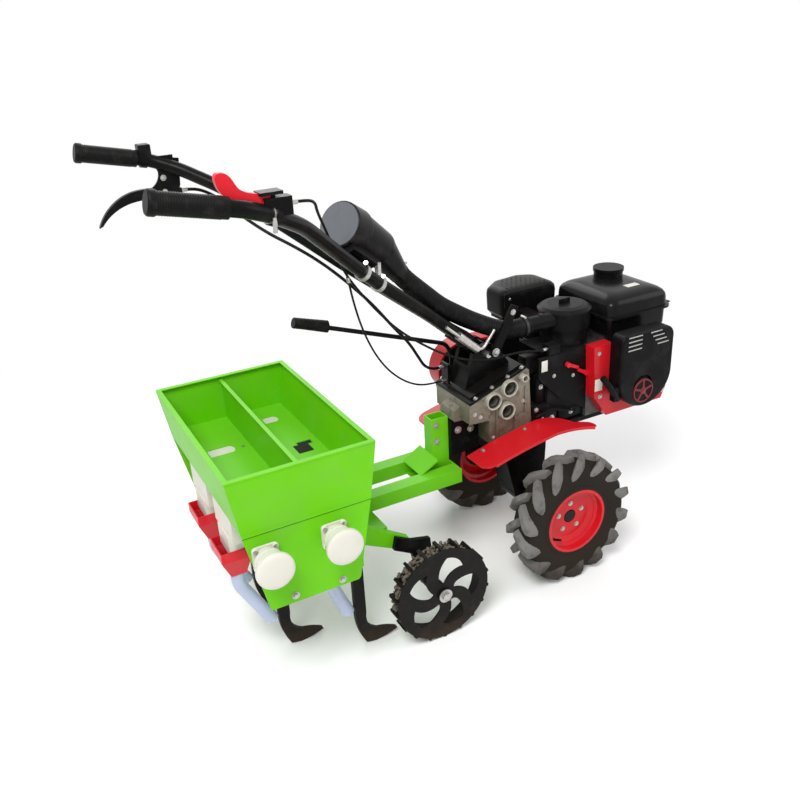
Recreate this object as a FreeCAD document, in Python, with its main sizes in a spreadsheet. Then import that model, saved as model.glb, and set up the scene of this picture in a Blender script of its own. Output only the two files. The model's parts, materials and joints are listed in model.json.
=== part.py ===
"""Walk-behind seeder: a two-wheel power tiller with a two-row seed and fertiliser planter.

Lengths are in millimetres.  +X is forward, +Y is the operator's left and +Z is up.
Stations are measured from the drive axle (x), the machine's middle (y) and the ground (z);
AXLE_X then moves every piece so that the origin lies under the middle of the whole machine.
"""
import FreeCAD, Part
import math
import os
import Sketcher

V = FreeCAD.Vector
doc = FreeCAD.newDocument("walk_behind_seeder")
sheet = doc.addObject("Spreadsheet::Sheet", "Sizes")
NODES = []
ROW = [1]


# ---------------------------------------------------------------- sizes and expressions
class Size:
    """A number together with the spreadsheet expression that gives it."""

    def __init__(self, value, text):
        self.value = value
        self.text = text

    def __add__(self, other):
        other = as_size(other)
        return Size(self.value + other.value, f"({self.text} + {other.text})")

    def __sub__(self, other):
        other = as_size(other)
        return Size(self.value - other.value, f"({self.text} - {other.text})")

    def __mul__(self, factor):
        factor = as_size(factor)
        return Size(self.value * factor.value, f"({self.text} * {factor.text})")

    def __truediv__(self, divisor):
        divisor = as_size(divisor)
        return Size(self.value / divisor.value, f"({self.text} / {divisor.text})")

    def __neg__(self):
        return Size(-self.value, f"(-1 * {self.text})")

    __radd__ = __add__
    __rmul__ = __mul__

    def __rsub__(self, other):
        return as_size(other) - self


def as_size(number):
    """Let a plain number stand where a Size is wanted."""
    if isinstance(number, Size):
        return number
    return Size(float(number), f"({float(number):.6f})")


def number(amount):
    """The plain value of a Size."""
    return as_size(amount).value


def size(alias, value, note):
    """Write one driving dimension into the sheet and return it as a Size."""
    row = ROW[0]
    ROW[0] += 1
    sheet.set(f"A{row}", note)
    sheet.set(f"B{row}", str(value))
    sheet.setAlias(f"B{row}", alias)
    return Size(float(value), f"Sizes.{alias}")


# Whole machine
AXLE_X = size("axle_station", 277.1, "drive axle ahead of the machine's middle")
CLEAR = size("running_clearance", 0.05, "radial clearance of a shaft in its bearing")

# Drive wheels
TYRE_R = size("tyre_radius", 185, "drive tyre over its lugs")
TYRE_W = size("tyre_width", 90, "drive tyre section width")
TRACK = size("half_track", 225, "middle of a drive wheel from the machine's middle")
RIM_R = size("rim_radius", 102, "rim flange")
RIM_W = size("rim_width", 76, "rim over its flanges")
SEAT_R = size("bead_seat_radius", 90, "bead seat of the rim")
RIM_WALL = size("rim_wall", 3, "rim sheet")
AXLE_R = size("axle_radius", 12, "drive shaft")
HUB_WALL = size("hub_wall", 5, "wall of the wheel's hub tube")
HUB_FLANGE_R = size("hub_flange_radius", 50, "bolting flange of a wheel hub")
HUB_FLANGE_T = size("hub_flange_thickness", 6, "bolting flange of a wheel hub")

# Ground wheel
GW_X = size("ground_wheel_x", -440, "ground wheel axle")
GW_R = size("ground_wheel_radius", 135, "ground wheel over its cleats")
GW_FLANGE_R = size("ground_wheel_flange_radius", 131, "flat outer flange of the ground wheel")
GW_RING_R = size("ground_wheel_ring_radius", 119, "outside of the ground wheel's ring")
GW_RING_T = size("ground_wheel_ring_wall", 4, "wall of the ground wheel's ring")
GW_FACE_Y = size("ground_wheel_face_y", -285, "outer face of the ground wheel")
GW_W = size("ground_wheel_width", 48, "width of the ground wheel's ring")
GW_SHAFT_R = size("ground_shaft_radius", 9, "shaft of the ground wheel")
GW_CLEATS = 18
GW_WINDOWS = 5

# Planter box
HOP_TOP = size("hopper_top_z", 623, "hopper rim above the ground")
HOP_FOLD = size("hopper_fold_z", 484, "fold where the hopper meets the side plates")
HOP_FLOOR = size("hopper_floor_z", 500, "hopper floor")
HOP_Y = size("hopper_half_length", 285, "half of the hopper across the machine")
HOP_TOP_REAR = size("hopper_top_rear_x", -951, "rear edge of the hopper's rim")
HOP_TOP_FRONT = size("hopper_top_front_x", -601, "front edge of the hopper's rim")
HOP_FOLD_REAR = size("hopper_fold_rear_x", -930, "rear edge of the fold")
HOP_FOLD_FRONT = size("hopper_fold_front_x", -622, "front edge of the fold")
SHEET_T = size("hopper_sheet", 2, "hopper sheet steel")
LIP = size("hopper_lip", 12, "inward lip round the hopper's rim")
DIVIDER_X = size("divider_x", -778, "divider between the seed and fertiliser bays")
PLATE_T = size("side_plate_thickness", 4, "side plate")
PLATE_FOOT = size("side_plate_foot_z", 275, "lower edge of a side plate")
PLATE_REAR = size("side_plate_rear_x", -887, "rear foot of a side plate")
PLATE_FRONT = size("side_plate_front_x", -663, "front foot of a side plate")

# Toolbars, drawbar and hitch
BAR = size("toolbar_section", 40, "side of a square toolbar")
BAR_WALL = size("toolbar_wall", 3, "wall of the toolbars and drawbar tubes")
REAR_BAR_X = size("rear_toolbar_x", -840, "middle of the rear toolbar")
FRONT_BAR_X = size("front_toolbar_x", -672, "middle of the front toolbar")
BAR_Z = size("toolbar_z", 323, "middle of the toolbars and the drawbar")
DRAW_Y = size("drawbar_y", 60, "middle of a drawbar tube from the machine's middle")
DRAW_FRONT = size("drawbar_front_x", -254, "front end of the drawbar")
HITCH_TOP = size("hitch_top_z", 480, "top of the upright hitch channel")
HITCH_X = size("hitch_depth", 56, "hitch channel along the machine")
HITCH_Y = size("hitch_half_width", 20, "half width of the hitch channel")
HITCH_WALL = size("hitch_wall", 4, "wall of the hitch channel")

# Openers and seed way
SEED_Y = size("seed_row_y", 95, "seed row from the machine's middle")
FERT_Y = size("fertiliser_row_y", 195, "fertiliser row from the machine's middle")
SEED_FOOT_X = size("seed_opener_x", -775, "lowest point of a seed opener")
FERT_FOOT_X = size("fertiliser_opener_x", -607, "lowest point of a fertiliser opener")
SHANK = size("shank_width", 30, "opener shank along the machine")
SHANK_T = size("shank_thickness", 14, "opener shank across the machine")
METER_Z = size("meter_shaft_z", 422, "metering shafts above the ground")
SEED_METER_X = size("seed_meter_x", -884, "seed metering shaft")
FERT_METER_X = size("fertiliser_meter_x", -721, "fertiliser metering shaft")
KNOB_R = size("knob_radius", 44, "face of a metering knob")
TUBE_R = size("seed_tube_radius", 17, "seed and fertiliser tubes")
TUBE_WALL = size("seed_tube_wall", 2, "wall of those tubes")

# Gearbox, engine and covers
BOX_Y = size("gearbox_half_width", 90, "gearbox face from the machine's middle")
CASE_REAR_X = size("gearcase_rear_x", -232, "rear end of the gearbox's sloping joint")
CASE_REAR_Z = size("gearcase_rear_z", 530, "rear end of the gearbox's sloping joint")
CASE_FRONT_X = size("gearcase_front_x", -56, "front end of the gearbox's sloping joint")
CASE_FRONT_Z = size("gearcase_front_z", 594, "front end of the gearbox's sloping joint")
STOP_X = size("cable_stop_x", -224, "bracket that the cables end on, its rear face")
LID_T = size("gearbox_lid_rise", 15, "height of the gearbox lid over its joint")
PIN_R = size("pivot_pin_radius", 8, "handlebar pivot pin")
HOUSING_Y = size("axle_housing_half_width", 42, "half width of the axle housing")
HOUSING_R = size("axle_housing_radius", 52, "foot of the axle housing")
FRAME_Z = size("engine_frame_z", 386, "underside of the engine frame")
FRAME_T = size("engine_frame_thickness", 14, "engine frame rails")
ENGINE_FRONT = size("engine_front_x", 400, "front of the engine's crankcase")
CRANK_X = size("crankshaft_x", 292, "engine crankshaft")
CRANK_Z = size("crankshaft_z", 510, "engine crankshaft")
BLOWER_Y = size("blower_face_y", -136, "outer face of the blower housing")
RECOIL_Y = size("recoil_face_y", -182, "outer face of the recoil starter")
TANK_FOOT = size("tank_foot_z", 616, "underside of the fuel tank")
TANK_EAR = size("tank_ear_x", 470, "front tip of the tank's mounting ear")
TANK_Z = size("tank_seam_z", 672, "seam flange of the fuel tank")
TANK_TOP = size("tank_top_z", 729, "top of the fuel tank")
CANISTER_R = size("air_canister_radius", 72, "air cleaner canister")
CANISTER_X = size("air_canister_x", 132, "air cleaner canister")
CANISTER_Y = size("air_canister_y", -14, "air cleaner canister")
CANISTER_TOP = size("air_canister_top_z", 720, "top of the air cleaner")
CARB_REAR = size("carburettor_rear_x", 22, "rear face of the carburettor housing")
FENDER_Y = size("fender_outer_y", 190, "outer edge of a fender")
SOCKET = (as_size(-190), as_size(66))
FINS = 7
FIN_PITCH = 12
FIN_T = 3
SLOT_ROWS = 4
CAP_GRIPS = 18

# Handlebar
PIVOT_X = size("handlebar_pivot_x", -150, "handlebar pivot")
PIVOT_Z = size("handlebar_pivot_z", 645, "handlebar pivot")
BAR_R = size("handlebar_radius", 16, "handlebar tube")
GRIP_Y = size("grip_half_spread", 355, "middle of a grip from the machine's middle")
GRIP_X = size("grip_end_x", -1020, "rear end of the grips")
GRIP_Z = size("grip_end_z", 1220, "rear end of the grips")
GRIP_L = size("grip_length", 141, "length of a grip")
GRIP_R = size("grip_radius", 20, "radius of a grip")
PIPE_R = size("intake_pipe_radius", 21, "intake pipe and hose")

# Cables
CLUTCH_CABLE_R = size("clutch_cable_radius", 4, "clutch cable")
THROTTLE_CABLE_R = size("throttle_cable_radius", 3, "throttle cable")
SHIFT_CABLE_R = size("shift_cable_radius", 2.5, "thin cable that hangs in a loop")


# ---------------------------------------------------------------- building helpers
def bind(obj, prop, amount):
    """Bind one property of an object to a Size or number."""
    amount = as_size(amount)
    obj.setExpression(prop, amount.text)


def place(obj, x=0, y=0, z=0, rotation=None):
    """Put an object at bound coordinates, after turning it."""
    if rotation is not None:
        obj.Placement = FreeCAD.Placement(V(0, 0, 0), rotation)
    for axis, amount in (("x", x), ("y", y), ("z", z)):
        bind(obj, f"Placement.Base.{axis}", amount)
    return obj


TURN = {
    "x": FreeCAD.Rotation(V(0, 1, 0), 90),
    "y": FreeCAD.Rotation(V(1, 0, 0), -90),
    "z": FreeCAD.Rotation(),
}


def node(obj, name, x=0, y=0, z=0, rotation=None):
    """Name a finished sub-part and move it to its station on the machine."""
    place(obj, AXLE_X + x, y, z, rotation)
    obj.Label = name
    NODES.append(obj)
    return obj


def box(name, x, y, z):
    """A block between bound limits, each given as (low, high)."""
    block = doc.addObject("Part::Box", name)
    for prop, (low, high) in (("Length", x), ("Width", y), ("Height", z)):
        bind(block, prop, as_size(high) - low)
    return place(block, x[0], y[0], z[0])


def rod(name, axis, radius, length, x=0, y=0, z=0):
    """A round bar that starts at (x, y, z) and runs along +axis."""
    bar = doc.addObject("Part::Cylinder", name)
    bind(bar, "Radius", radius)
    bind(bar, "Height", length)
    return place(bar, x, y, z, TURN[axis])


def fuse(name, pieces):
    """Join touching shapes into one solid."""
    joined = doc.addObject("Part::MultiFuse", name)
    joined.Shapes = pieces
    joined.Refine = True
    return joined


def cut(name, base, tool):
    """Take one shape out of another."""
    result = doc.addObject("Part::Cut", name)
    result.Base = base
    result.Tool = tool
    result.Refine = True
    return result


def body(name):
    """A PartDesign body."""
    return doc.addObject("PartDesign::Body", name + "_body")


def sketch(parent, role, name, offset=0):
    """A sketch on one of its own body's origin planes, moved along the plane's normal."""
    drawing = parent.newObject("Sketcher::SketchObject", name)
    plane = [item for item in parent.Origin.OriginFeatures if item.Role == role][0]
    drawing.AttachmentSupport = (plane, "")
    drawing.MapMode = "FlatFace"
    bind(drawing, "AttachmentOffset.Base.z", offset)
    return drawing


def pin_point(drawing, element, point, position):
    """Fix a sketch point at bound coordinates."""
    for kind, amount in zip(("DistanceX", "DistanceY"), position):
        amount = as_size(amount)
        number = drawing.addConstraint(
            Sketcher.Constraint(kind, -1, 1, element, point, amount.value))
        drawing.setExpression(f"Constraints[{number}]", amount.text)


def outline(drawing, points):
    """A closed outline of straight lines through bound points."""
    points = [(as_size(u), as_size(v)) for u, v in points]
    first = drawing.GeometryCount
    count = len(points)
    for i in range(count):
        (u0, v0), (u1, v1) = points[i], points[(i + 1) % count]
        drawing.addGeometry(
            Part.LineSegment(V(u0.value, v0.value, 0), V(u1.value, v1.value, 0)), False)
    for i in range(count):
        drawing.addConstraint(
            Sketcher.Constraint("Coincident", first + i, 2, first + (i + 1) % count, 1))
    for i in range(count):
        pin_point(drawing, first + i, 1, points[i])


def bowed(drawing, corners, crowns):
    """A closed outline whose side i bows through crowns[i]; None leaves that side straight."""
    corners = [(as_size(u), as_size(v)) for u, v in corners]
    first = drawing.GeometryCount
    count = len(corners)
    for i, crown in enumerate(crowns):
        start, end = [V(u.value, v.value, 0) for u, v in (corners[i], corners[(i + 1) % count])]
        if crown is None:
            drawing.addGeometry(Part.LineSegment(start, end), False)
        else:
            drawing.addGeometry(Part.Arc(start, V(number(crown[0]), number(crown[1]), 0), end),
                                False)
    for i in range(count):
        side, after = first + i, first + (i + 1) % count
        end_point, start_point = arc_ends(drawing, side, after, corners[(i + 1) % count])
        drawing.addConstraint(
            Sketcher.Constraint("Coincident", side, end_point, after, start_point))
        pin_point(drawing, side, end_point, corners[(i + 1) % count])
    for i, crown in enumerate(crowns):
        if crown is not None:
            radius = drawing.Geometry[first + i].Radius
            drawing.addConstraint(Sketcher.Constraint("Radius", first + i, radius))


def arc_ends(drawing, side, after, corner):
    """Which ends of two neighbouring sides meet at a corner: 1 is a start, 2 an end."""
    meeting = V(corner[0].value, corner[1].value, 0)
    ends = []
    for element in (side, after):
        start = drawing.getPoint(element, 1)
        ends.append(1 if (start - meeting).Length < 1e-6 else 2)
    return ends


def ring(drawing, u, v, radius):
    """A circle at a bound centre."""
    u, v, radius = as_size(u), as_size(v), as_size(radius)
    circle = drawing.addGeometry(
        Part.Circle(V(u.value, v.value, 0), V(0, 0, 1), radius.value), False)
    pin_point(drawing, circle, 3, (u, v))
    number = drawing.addConstraint(Sketcher.Constraint("Radius", circle, radius.value))
    drawing.setExpression(f"Constraints[{number}]", radius.text)


def pad(parent, drawing, length):
    """Add a straight extrusion, along the sketch plane's normal."""
    feature = parent.newObject("PartDesign::Pad", drawing.Name + "_pad")
    feature.Profile = drawing
    bind(feature, "Length", length)
    drawing.Visibility = False
    return feature


def pocket(parent, drawing, length):
    """Cut a straight pocket, both ways from the sketch plane."""
    feature = parent.newObject("PartDesign::Pocket", drawing.Name + "_pocket")
    feature.Profile = drawing
    feature.SideType = "Symmetric"
    bind(feature, "Length", length)
    return feature


def revolve(parent, drawing):
    """Revolve a profile one full turn about its sketch's horizontal axis."""
    feature = parent.newObject("PartDesign::Revolution", drawing.Name + "_turn")
    feature.Profile = drawing
    feature.ReferenceAxis = (drawing, ["H_Axis"])
    feature.Angle = 360
    return feature


def polar(parent, feature, count, role="Y_Axis"):
    """Repeat a feature evenly round one of the body's axes."""
    pattern = parent.newObject("PartDesign::PolarPattern", feature.Name + "_ring")
    axis = [item for item in parent.Origin.OriginFeatures if item.Role == role][0]
    pattern.Originals = [feature]
    pattern.Axis = (axis, [""])
    pattern.Angle = 360
    pattern.Occurrences = count
    parent.Tip = pattern
    return pattern


def side_pad(name, points, y_low, y_high, holes=(), crowns=None):
    """A piece with one side outline in X and Z, between two bound Y stations."""
    part = body(name)
    drawing = sketch(part, "XZ_Plane", name + "_outline", -as_size(y_high))
    if crowns:
        bowed(drawing, points, crowns)
    else:
        outline(drawing, points)
    for u, v, radius in holes:
        ring(drawing, u, v, radius)
    pad(part, drawing, as_size(y_high) - y_low)
    return part


def plan_pad(name, points, z_low, z_high, crowns=None):
    """A piece with one plan outline in X and Y, between two bound heights."""
    part = body(name)
    drawing = sketch(part, "XY_Plane", name + "_outline", z_low)
    if crowns:
        bowed(drawing, points, crowns)
    else:
        outline(drawing, points)
    pad(part, drawing, as_size(z_high) - z_low)
    return part


def turned(name, profile):
    """A piece turned about Y; the profile holds (y, radius) points."""
    part = body(name)
    drawing = sketch(part, "YZ_Plane", name + "_profile")
    outline(drawing, profile)
    revolve(part, drawing)
    return part


def round_edges(part, radius, wanted):
    """Fillet the edges of a body that the wanted() test picks."""
    doc.recompute()
    base = part.Tip
    names = [f"Edge{i + 1}" for i, edge in enumerate(base.Shape.Edges) if wanted(edge)]
    feature = part.newObject("PartDesign::Fillet", part.Name + f"_round{len(part.Group)}")
    feature.Base = (base, names)
    bind(feature, "Radius", radius)
    part.Tip = feature
    return feature


def at_level(axis, level):
    """An edge test: every corner of the edge lies at one station of an axis."""
    index = "xyz".index(axis)

    def test(edge):
        points = [edge.valueAt(edge.FirstParameter), edge.valueAt(edge.LastParameter),
                  edge.valueAt((edge.FirstParameter + edge.LastParameter) / 2)]
        return all(abs(point[index] - number(level)) < 1e-4 for point in points)

    return test


def along(axis):
    """An edge test: straight and parallel to one axis."""
    wanted = {"x": V(1, 0, 0), "y": V(0, 1, 0), "z": V(0, 0, 1)}[axis]

    def test(edge):
        if edge.Curve.TypeId != "Part::GeomLine":
            return False
        direction = edge.tangentAt(edge.FirstParameter)
        return abs(abs(direction.dot(wanted)) - 1) < 1e-6

    return test


def bent_wire(points, bend=0.45):
    """Straight runs joined by tangent arcs; each arc takes a share of its shorter run."""
    points = [V(*(as_size(c).value for c in p)) for p in points]
    edges = []
    radii = []
    start = points[0]
    for before, corner, after in zip(points, points[1:], points[2:]):
        back, ahead = before - corner, after - corner
        reach = bend * min(back.Length, ahead.Length)
        back.normalize()
        ahead.normalize()
        half_turn = (math.pi - back.getAngle(ahead)) / 2
        radius = reach / math.tan(half_turn)
        radii.append(radius)
        entry, leave = corner + back * reach, corner + ahead * reach
        middle = back + ahead
        middle.normalize()
        centre = corner + middle * math.hypot(radius, reach)
        crown = centre - middle * radius
        edges.append(Part.LineSegment(start, entry).toShape())
        edges.append(Part.Arc(entry, crown, leave).toShape())
        start = leave
    edges.append(Part.LineSegment(start, points[-1]).toShape())
    return Part.Wire(edges), radii


def swept(points, radius, bend=0.45):
    """A round bar along a bent wire."""
    wire, radii = bent_wire(points, bend)
    first, second = [V(*(as_size(c).value for c in p)) for p in points[:2]]
    section = Part.Wire(Part.Circle(first, second - first, as_size(radius).value).toShape())
    return wire.makePipeShell([section], True, True), wire, radii


def feature(name, shape):
    """A sub-part whose shape is set here from the sheet's sizes."""
    holder = doc.addObject("Part::Feature", name + "_shape")
    holder.Shape = shape
    return holder


def tube_shape(points, radius, wall, bend=0.45):
    """A hollow round tube along a bent wire."""
    outer = swept(points, radius, bend)[0]
    inner = swept(points, as_size(radius) - wall, bend)[0]
    return outer.cut(inner)


def strip(start, end, half_width):
    """The four corners of a flat bar's side view, between two points of its middle line."""
    (x0, z0), (x1, z1) = [(number(p), number(q)) for p, q in (start, end)]
    length = math.hypot(x1 - x0, z1 - z0)
    across = (-(z1 - z0) / length * half_width, (x1 - x0) / length * half_width)
    return [(x0 + across[0], z0 + across[1]), (x1 + across[0], z1 + across[1]),
            (x1 - across[0], z1 - across[1]), (x0 - across[0], z0 - across[1])]


# ---------------------------------------------------------------- drive wheels
def drive_wheels():
    """Shaft, hubs, dished rims and tyres, which all turn as one."""
    disc_t = RIM_WALL + 1
    flange_seat = as_size(-2)
    hub_in = TRACK - 75
    node(rod("shaft", "y", AXLE_R, (TRACK + 4) * 2), "axle_shaft", 0, -(TRACK + 4), TYRE_R)

    def hub(side):
        part = turned(f"hub_{side}", [
            (flange_seat, AXLE_R), (flange_seat, HUB_FLANGE_R),
            (flange_seat + HUB_FLANGE_T, HUB_FLANGE_R),
            (flange_seat + HUB_FLANGE_T, AXLE_R + HUB_WALL),
            (hub_in, AXLE_R + HUB_WALL), (hub_in, AXLE_R)])
        return part

    half = RIM_W / 2
    inside = SEAT_R - RIM_WALL

    def rim(side):
        part = turned(f"rim_{side}", [
            (-half, RIM_R), (RIM_WALL - half, RIM_R), (RIM_WALL - half, SEAT_R),
            (-16, SEAT_R), (-12, SEAT_R - 8), (12, SEAT_R - 8), (16, SEAT_R),
            (half - RIM_WALL, SEAT_R), (half - RIM_WALL, RIM_R), (half, RIM_R),
            (half, inside), (18, inside), (14, inside - 8),
            (-8, inside - 8), (flange_seat, 58), (flange_seat, 20),
            (flange_seat - disc_t, 20), (flange_seat - disc_t, 61), (-12, inside - 8),
            (-14, inside - 8), (-18, inside), (-half, inside)])
        return part

    bead = half - RIM_WALL
    bulge = TYRE_W / 2

    def tyre(side):
        part = turned(f"tyre_{side}", [
            (-bead, SEAT_R), (-bead, RIM_R + 2), (-bulge + 2, RIM_R + 22),
            (-bulge, RIM_R + 46), (-bulge + 4, TYRE_R - 16), (-bulge + 14, TYRE_R - 4),
            (-14, TYRE_R), (14, TYRE_R), (bulge - 14, TYRE_R - 4),
            (bulge - 4, TYRE_R - 16), (bulge, RIM_R + 46), (bulge - 2, RIM_R + 22),
            (bead, RIM_R + 2), (bead, SEAT_R)])
        return part

    about = FreeCAD.Rotation(V(0, 0, 1), 180)
    for name, make in (("wheel_hubs", hub), ("wheel_rims", rim)):
        pair = doc.addObject("Part::Compound", name + "_pair")
        right = place(make("right"), 0, -TRACK, 0)
        left = place(make("left"), 0, TRACK, 0, about)
        pair.Links = [right, left]
        node(pair, name, 0, 0, TYRE_R)
    node(tyre("right"), "tyre_right", 0, -TRACK, TYRE_R)
    node(tyre("left"), "tyre_left", 0, TRACK, TYRE_R, about)


# ---------------------------------------------------------------- ground wheel
def ground_wheel():
    """Cleated metal wheel that drives the metering shafts, on its own short shaft."""
    half = GW_W / 2
    wheel = turned("ground_disc", [
        (-half, GW_FLANGE_R), (GW_RING_T - half, GW_FLANGE_R), (GW_RING_T - half, GW_RING_R),
        (half, GW_RING_R), (half, GW_RING_R - GW_RING_T),
        (GW_RING_T - half, GW_RING_R - GW_RING_T), (GW_RING_T - half, GW_SHAFT_R * 2),
        (half - 4, GW_SHAFT_R * 2), (half - 4, GW_SHAFT_R), (-half, GW_SHAFT_R)])
    doc.recompute()
    window = sketch(wheel, "XZ_Plane", "window")
    reach = (GW_RING_R - GW_RING_T) / 115
    bowed(window,
          [(reach * u, reach * v) for u, v in ((40, 28), (104, 22), (80, -35), (29, 10))],
          [(reach * u, reach * v) for u, v in ((68, 33), (102, -8), (62, -4), (31, 21))])
    cut_out = pocket(wheel, window, GW_W * 2)
    polar(wheel, cut_out, GW_WINDOWS)
    doc.recompute()
    cleat = sketch(wheel, "XZ_Plane", "cleat", GW_RING_T - 1 - half)
    outline(cleat, [(-4, -GW_R), (4, -GW_R), (4, 1 - GW_RING_R), (-4, 1 - GW_RING_R)])
    bar = pad(wheel, cleat, GW_W + 1 - GW_RING_T)
    polar(wheel, bar, GW_CLEATS)
    node(wheel, "ground_wheel", GW_X, GW_FACE_Y + half, GW_R)
    node(rod("ground_shaft", "y", GW_SHAFT_R, 112), "ground_wheel_shaft",
         GW_X, GW_FACE_Y - 6, GW_R)


def ground_wheel_arm():
    """Welded arm from the front toolbar, and the bolted fork plate with its bearing."""
    arm_y = (as_size(-185), as_size(-165))
    front = FRONT_BAR_X + BAR / 2
    top = BAR_Z + BAR / 2
    low = BAR_Z - BAR / 2
    arm = side_pad("arm", [
        (front, top), (front + 61, top - 10), (GW_X - 39, GW_R + 128),
        (GW_X - 52, GW_R + 95), (front + 53, low - 18), (front, low)], *arm_y)
    brace = box("brace", (GW_X - 120, GW_X - 90), (arm_y[1], -(DRAW_Y - 15)), (low - 12, low))
    node(fuse("arm_and_brace", [arm, brace]), "wheel_arm")
    plate = side_pad("fork_plate", [
        (GW_X - 82, GW_R + 150), (GW_X - 40, GW_R + 128), (GW_X + 15, GW_R + 115),
        (GW_X + 24, GW_R + 15), (GW_X + 16, GW_R - 15), (GW_X - 16, GW_R - 15),
        (GW_X - 26, GW_R + 15), (GW_X - 40, GW_R + 87), (GW_X - 90, GW_R + 115)],
        arm_y[0] - 12, arm_y[0])
    boss = rod("fork_boss", "y", GW_SHAFT_R + 11, 40, GW_X, arm_y[0] - 40, GW_R)
    bore = rod("fork_bore", "y", GW_SHAFT_R + CLEAR, 60, GW_X, arm_y[0] - 50, GW_R)
    node(cut("fork", fuse("fork_solid", [plate, boss]), bore), "wheel_fork")


# ---------------------------------------------------------------- planter box
def wall_x(low, high, z):
    """Station of a sloping hopper wall at a height, from its stations at the fold and rim."""
    share = (as_size(z) - HOP_FOLD) / (HOP_TOP - HOP_FOLD)
    return low + (high - low) * share


def hopper():
    """Folded sheet hopper with an inward lip, a sloping front and rear and a divider."""
    part = body("hopper")
    outer = sketch(part, "XZ_Plane", "hopper_outside", -HOP_Y)
    outline(outer, [(HOP_TOP_REAR, HOP_TOP), (HOP_TOP_FRONT, HOP_TOP),
                    (HOP_FOLD_FRONT, HOP_FOLD), (HOP_FOLD_REAR, HOP_FOLD)])
    pad(part, outer, HOP_Y * 2)
    inner = sketch(part, "XZ_Plane", "hopper_inside")
    outline(inner, [(HOP_TOP_REAR + SHEET_T, HOP_TOP), (HOP_TOP_FRONT - SHEET_T, HOP_TOP),
                    (HOP_FOLD_FRONT - SHEET_T, HOP_FOLD), (HOP_FOLD_REAR + SHEET_T, HOP_FOLD)])
    pocket(part, inner, (HOP_Y - SHEET_T) * 2)
    floor = sketch(part, "XZ_Plane", "hopper_floor", -(HOP_Y - 1))
    below = HOP_FLOOR - SHEET_T
    outline(floor, [
        (wall_x(HOP_FOLD_REAR, HOP_TOP_REAR, HOP_FLOOR) + 1, HOP_FLOOR),
        (wall_x(HOP_FOLD_FRONT, HOP_TOP_FRONT, HOP_FLOOR) - 1, HOP_FLOOR),
        (wall_x(HOP_FOLD_FRONT, HOP_TOP_FRONT, below) - 1, below),
        (wall_x(HOP_FOLD_REAR, HOP_TOP_REAR, below) + 1, below)])
    pad(part, floor, (HOP_Y - 1) * 2)
    divider = sketch(part, "XZ_Plane", "hopper_divider", -(HOP_Y - 1))
    crest = HOP_TOP - 10
    outline(divider, [
        (DIVIDER_X, HOP_FLOOR - 1), (DIVIDER_X + SHEET_T, HOP_FLOOR - 1),
        (DIVIDER_X + SHEET_T, crest), (DIVIDER_X - 8, crest),
        (DIVIDER_X - 8, crest - SHEET_T), (DIVIDER_X, crest - SHEET_T)])
    pad(part, divider, (HOP_Y - 1) * 2)
    lip = sketch(part, "XY_Plane", "hopper_lip", HOP_TOP - SHEET_T)
    outline(lip, [(HOP_TOP_REAR + 1, 1 - HOP_Y), (HOP_TOP_FRONT - 1, 1 - HOP_Y),
                  (HOP_TOP_FRONT - 1, HOP_Y - 1), (HOP_TOP_REAR + 1, HOP_Y - 1)])
    outline(lip, [(HOP_TOP_REAR + LIP, LIP - HOP_Y), (HOP_TOP_FRONT - LIP, LIP - HOP_Y),
                  (HOP_TOP_FRONT - LIP, HOP_Y - LIP), (HOP_TOP_REAR + LIP, HOP_Y - LIP)])
    pad(part, lip, SHEET_T)
    slots = sketch(part, "XY_Plane", "hopper_outlets", HOP_FLOOR)
    for side in (-1, 1):
        middle = SEED_Y * side
        bowed(slots, [(SEED_METER_X, middle - 20), (SEED_METER_X + 58, middle - 20),
                      (SEED_METER_X + 58, middle + 20), (SEED_METER_X, middle + 20)],
              [None, (SEED_METER_X + 67, middle), None, None])
        middle = FERT_Y * side
        bowed(slots, [(FERT_METER_X + 18, middle - 18), (FERT_METER_X + 50, middle - 18),
                      (FERT_METER_X + 50, middle + 18), (FERT_METER_X + 18, middle + 18)],
              [None, (FERT_METER_X + 58, middle), None, None])
    outline(slots, [(FERT_METER_X + 30, -30), (FERT_METER_X + 70, -30),
                    (FERT_METER_X + 70, 10), (FERT_METER_X + 82, 10),
                    (FERT_METER_X + 82, 30), (FERT_METER_X + 44, 30),
                    (FERT_METER_X + 44, 18), (FERT_METER_X + 30, 18)])
    pocket(part, slots, 12)
    node(part, "hopper")


def side_plates():
    """The two end plates that carry the toolbars and the metering shafts."""
    points = [(HOP_FOLD_REAR, HOP_FOLD), (PLATE_REAR, PLATE_FOOT),
              (PLATE_FRONT - 6, PLATE_FOOT), (PLATE_FRONT, PLATE_FOOT + 6),
              (HOP_FOLD_FRONT, HOP_FOLD)]
    holes = [(SEED_METER_X, METER_Z, 12), (FERT_METER_X, METER_Z, 12)]
    right = side_pad("plate_right", points, -HOP_Y, PLATE_T - HOP_Y, holes)
    left = side_pad("plate_left", points, HOP_Y - PLATE_T, HOP_Y, holes)
    pair = doc.addObject("Part::Compound", "plate_pair")
    pair.Links = [right, left]
    node(pair, "side_plates")


def square_tube(name, axis, middle, low, high):
    """A square tube along x or y; middle gives the other two stations."""
    half = BAR / 2
    bore = half - BAR_WALL
    if axis == "y":
        limits = [((middle[0] - r, middle[0] + r), (low, high), (middle[1] - r, middle[1] + r))
                  for r in (half, bore)]
    else:
        limits = [((low, high), (middle[0] - r, middle[0] + r), (middle[1] - r, middle[1] + r))
                  for r in (half, bore)]
    return cut(name, box(name + "_outside", *limits[0]), box(name + "_inside", *limits[1]))


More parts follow.
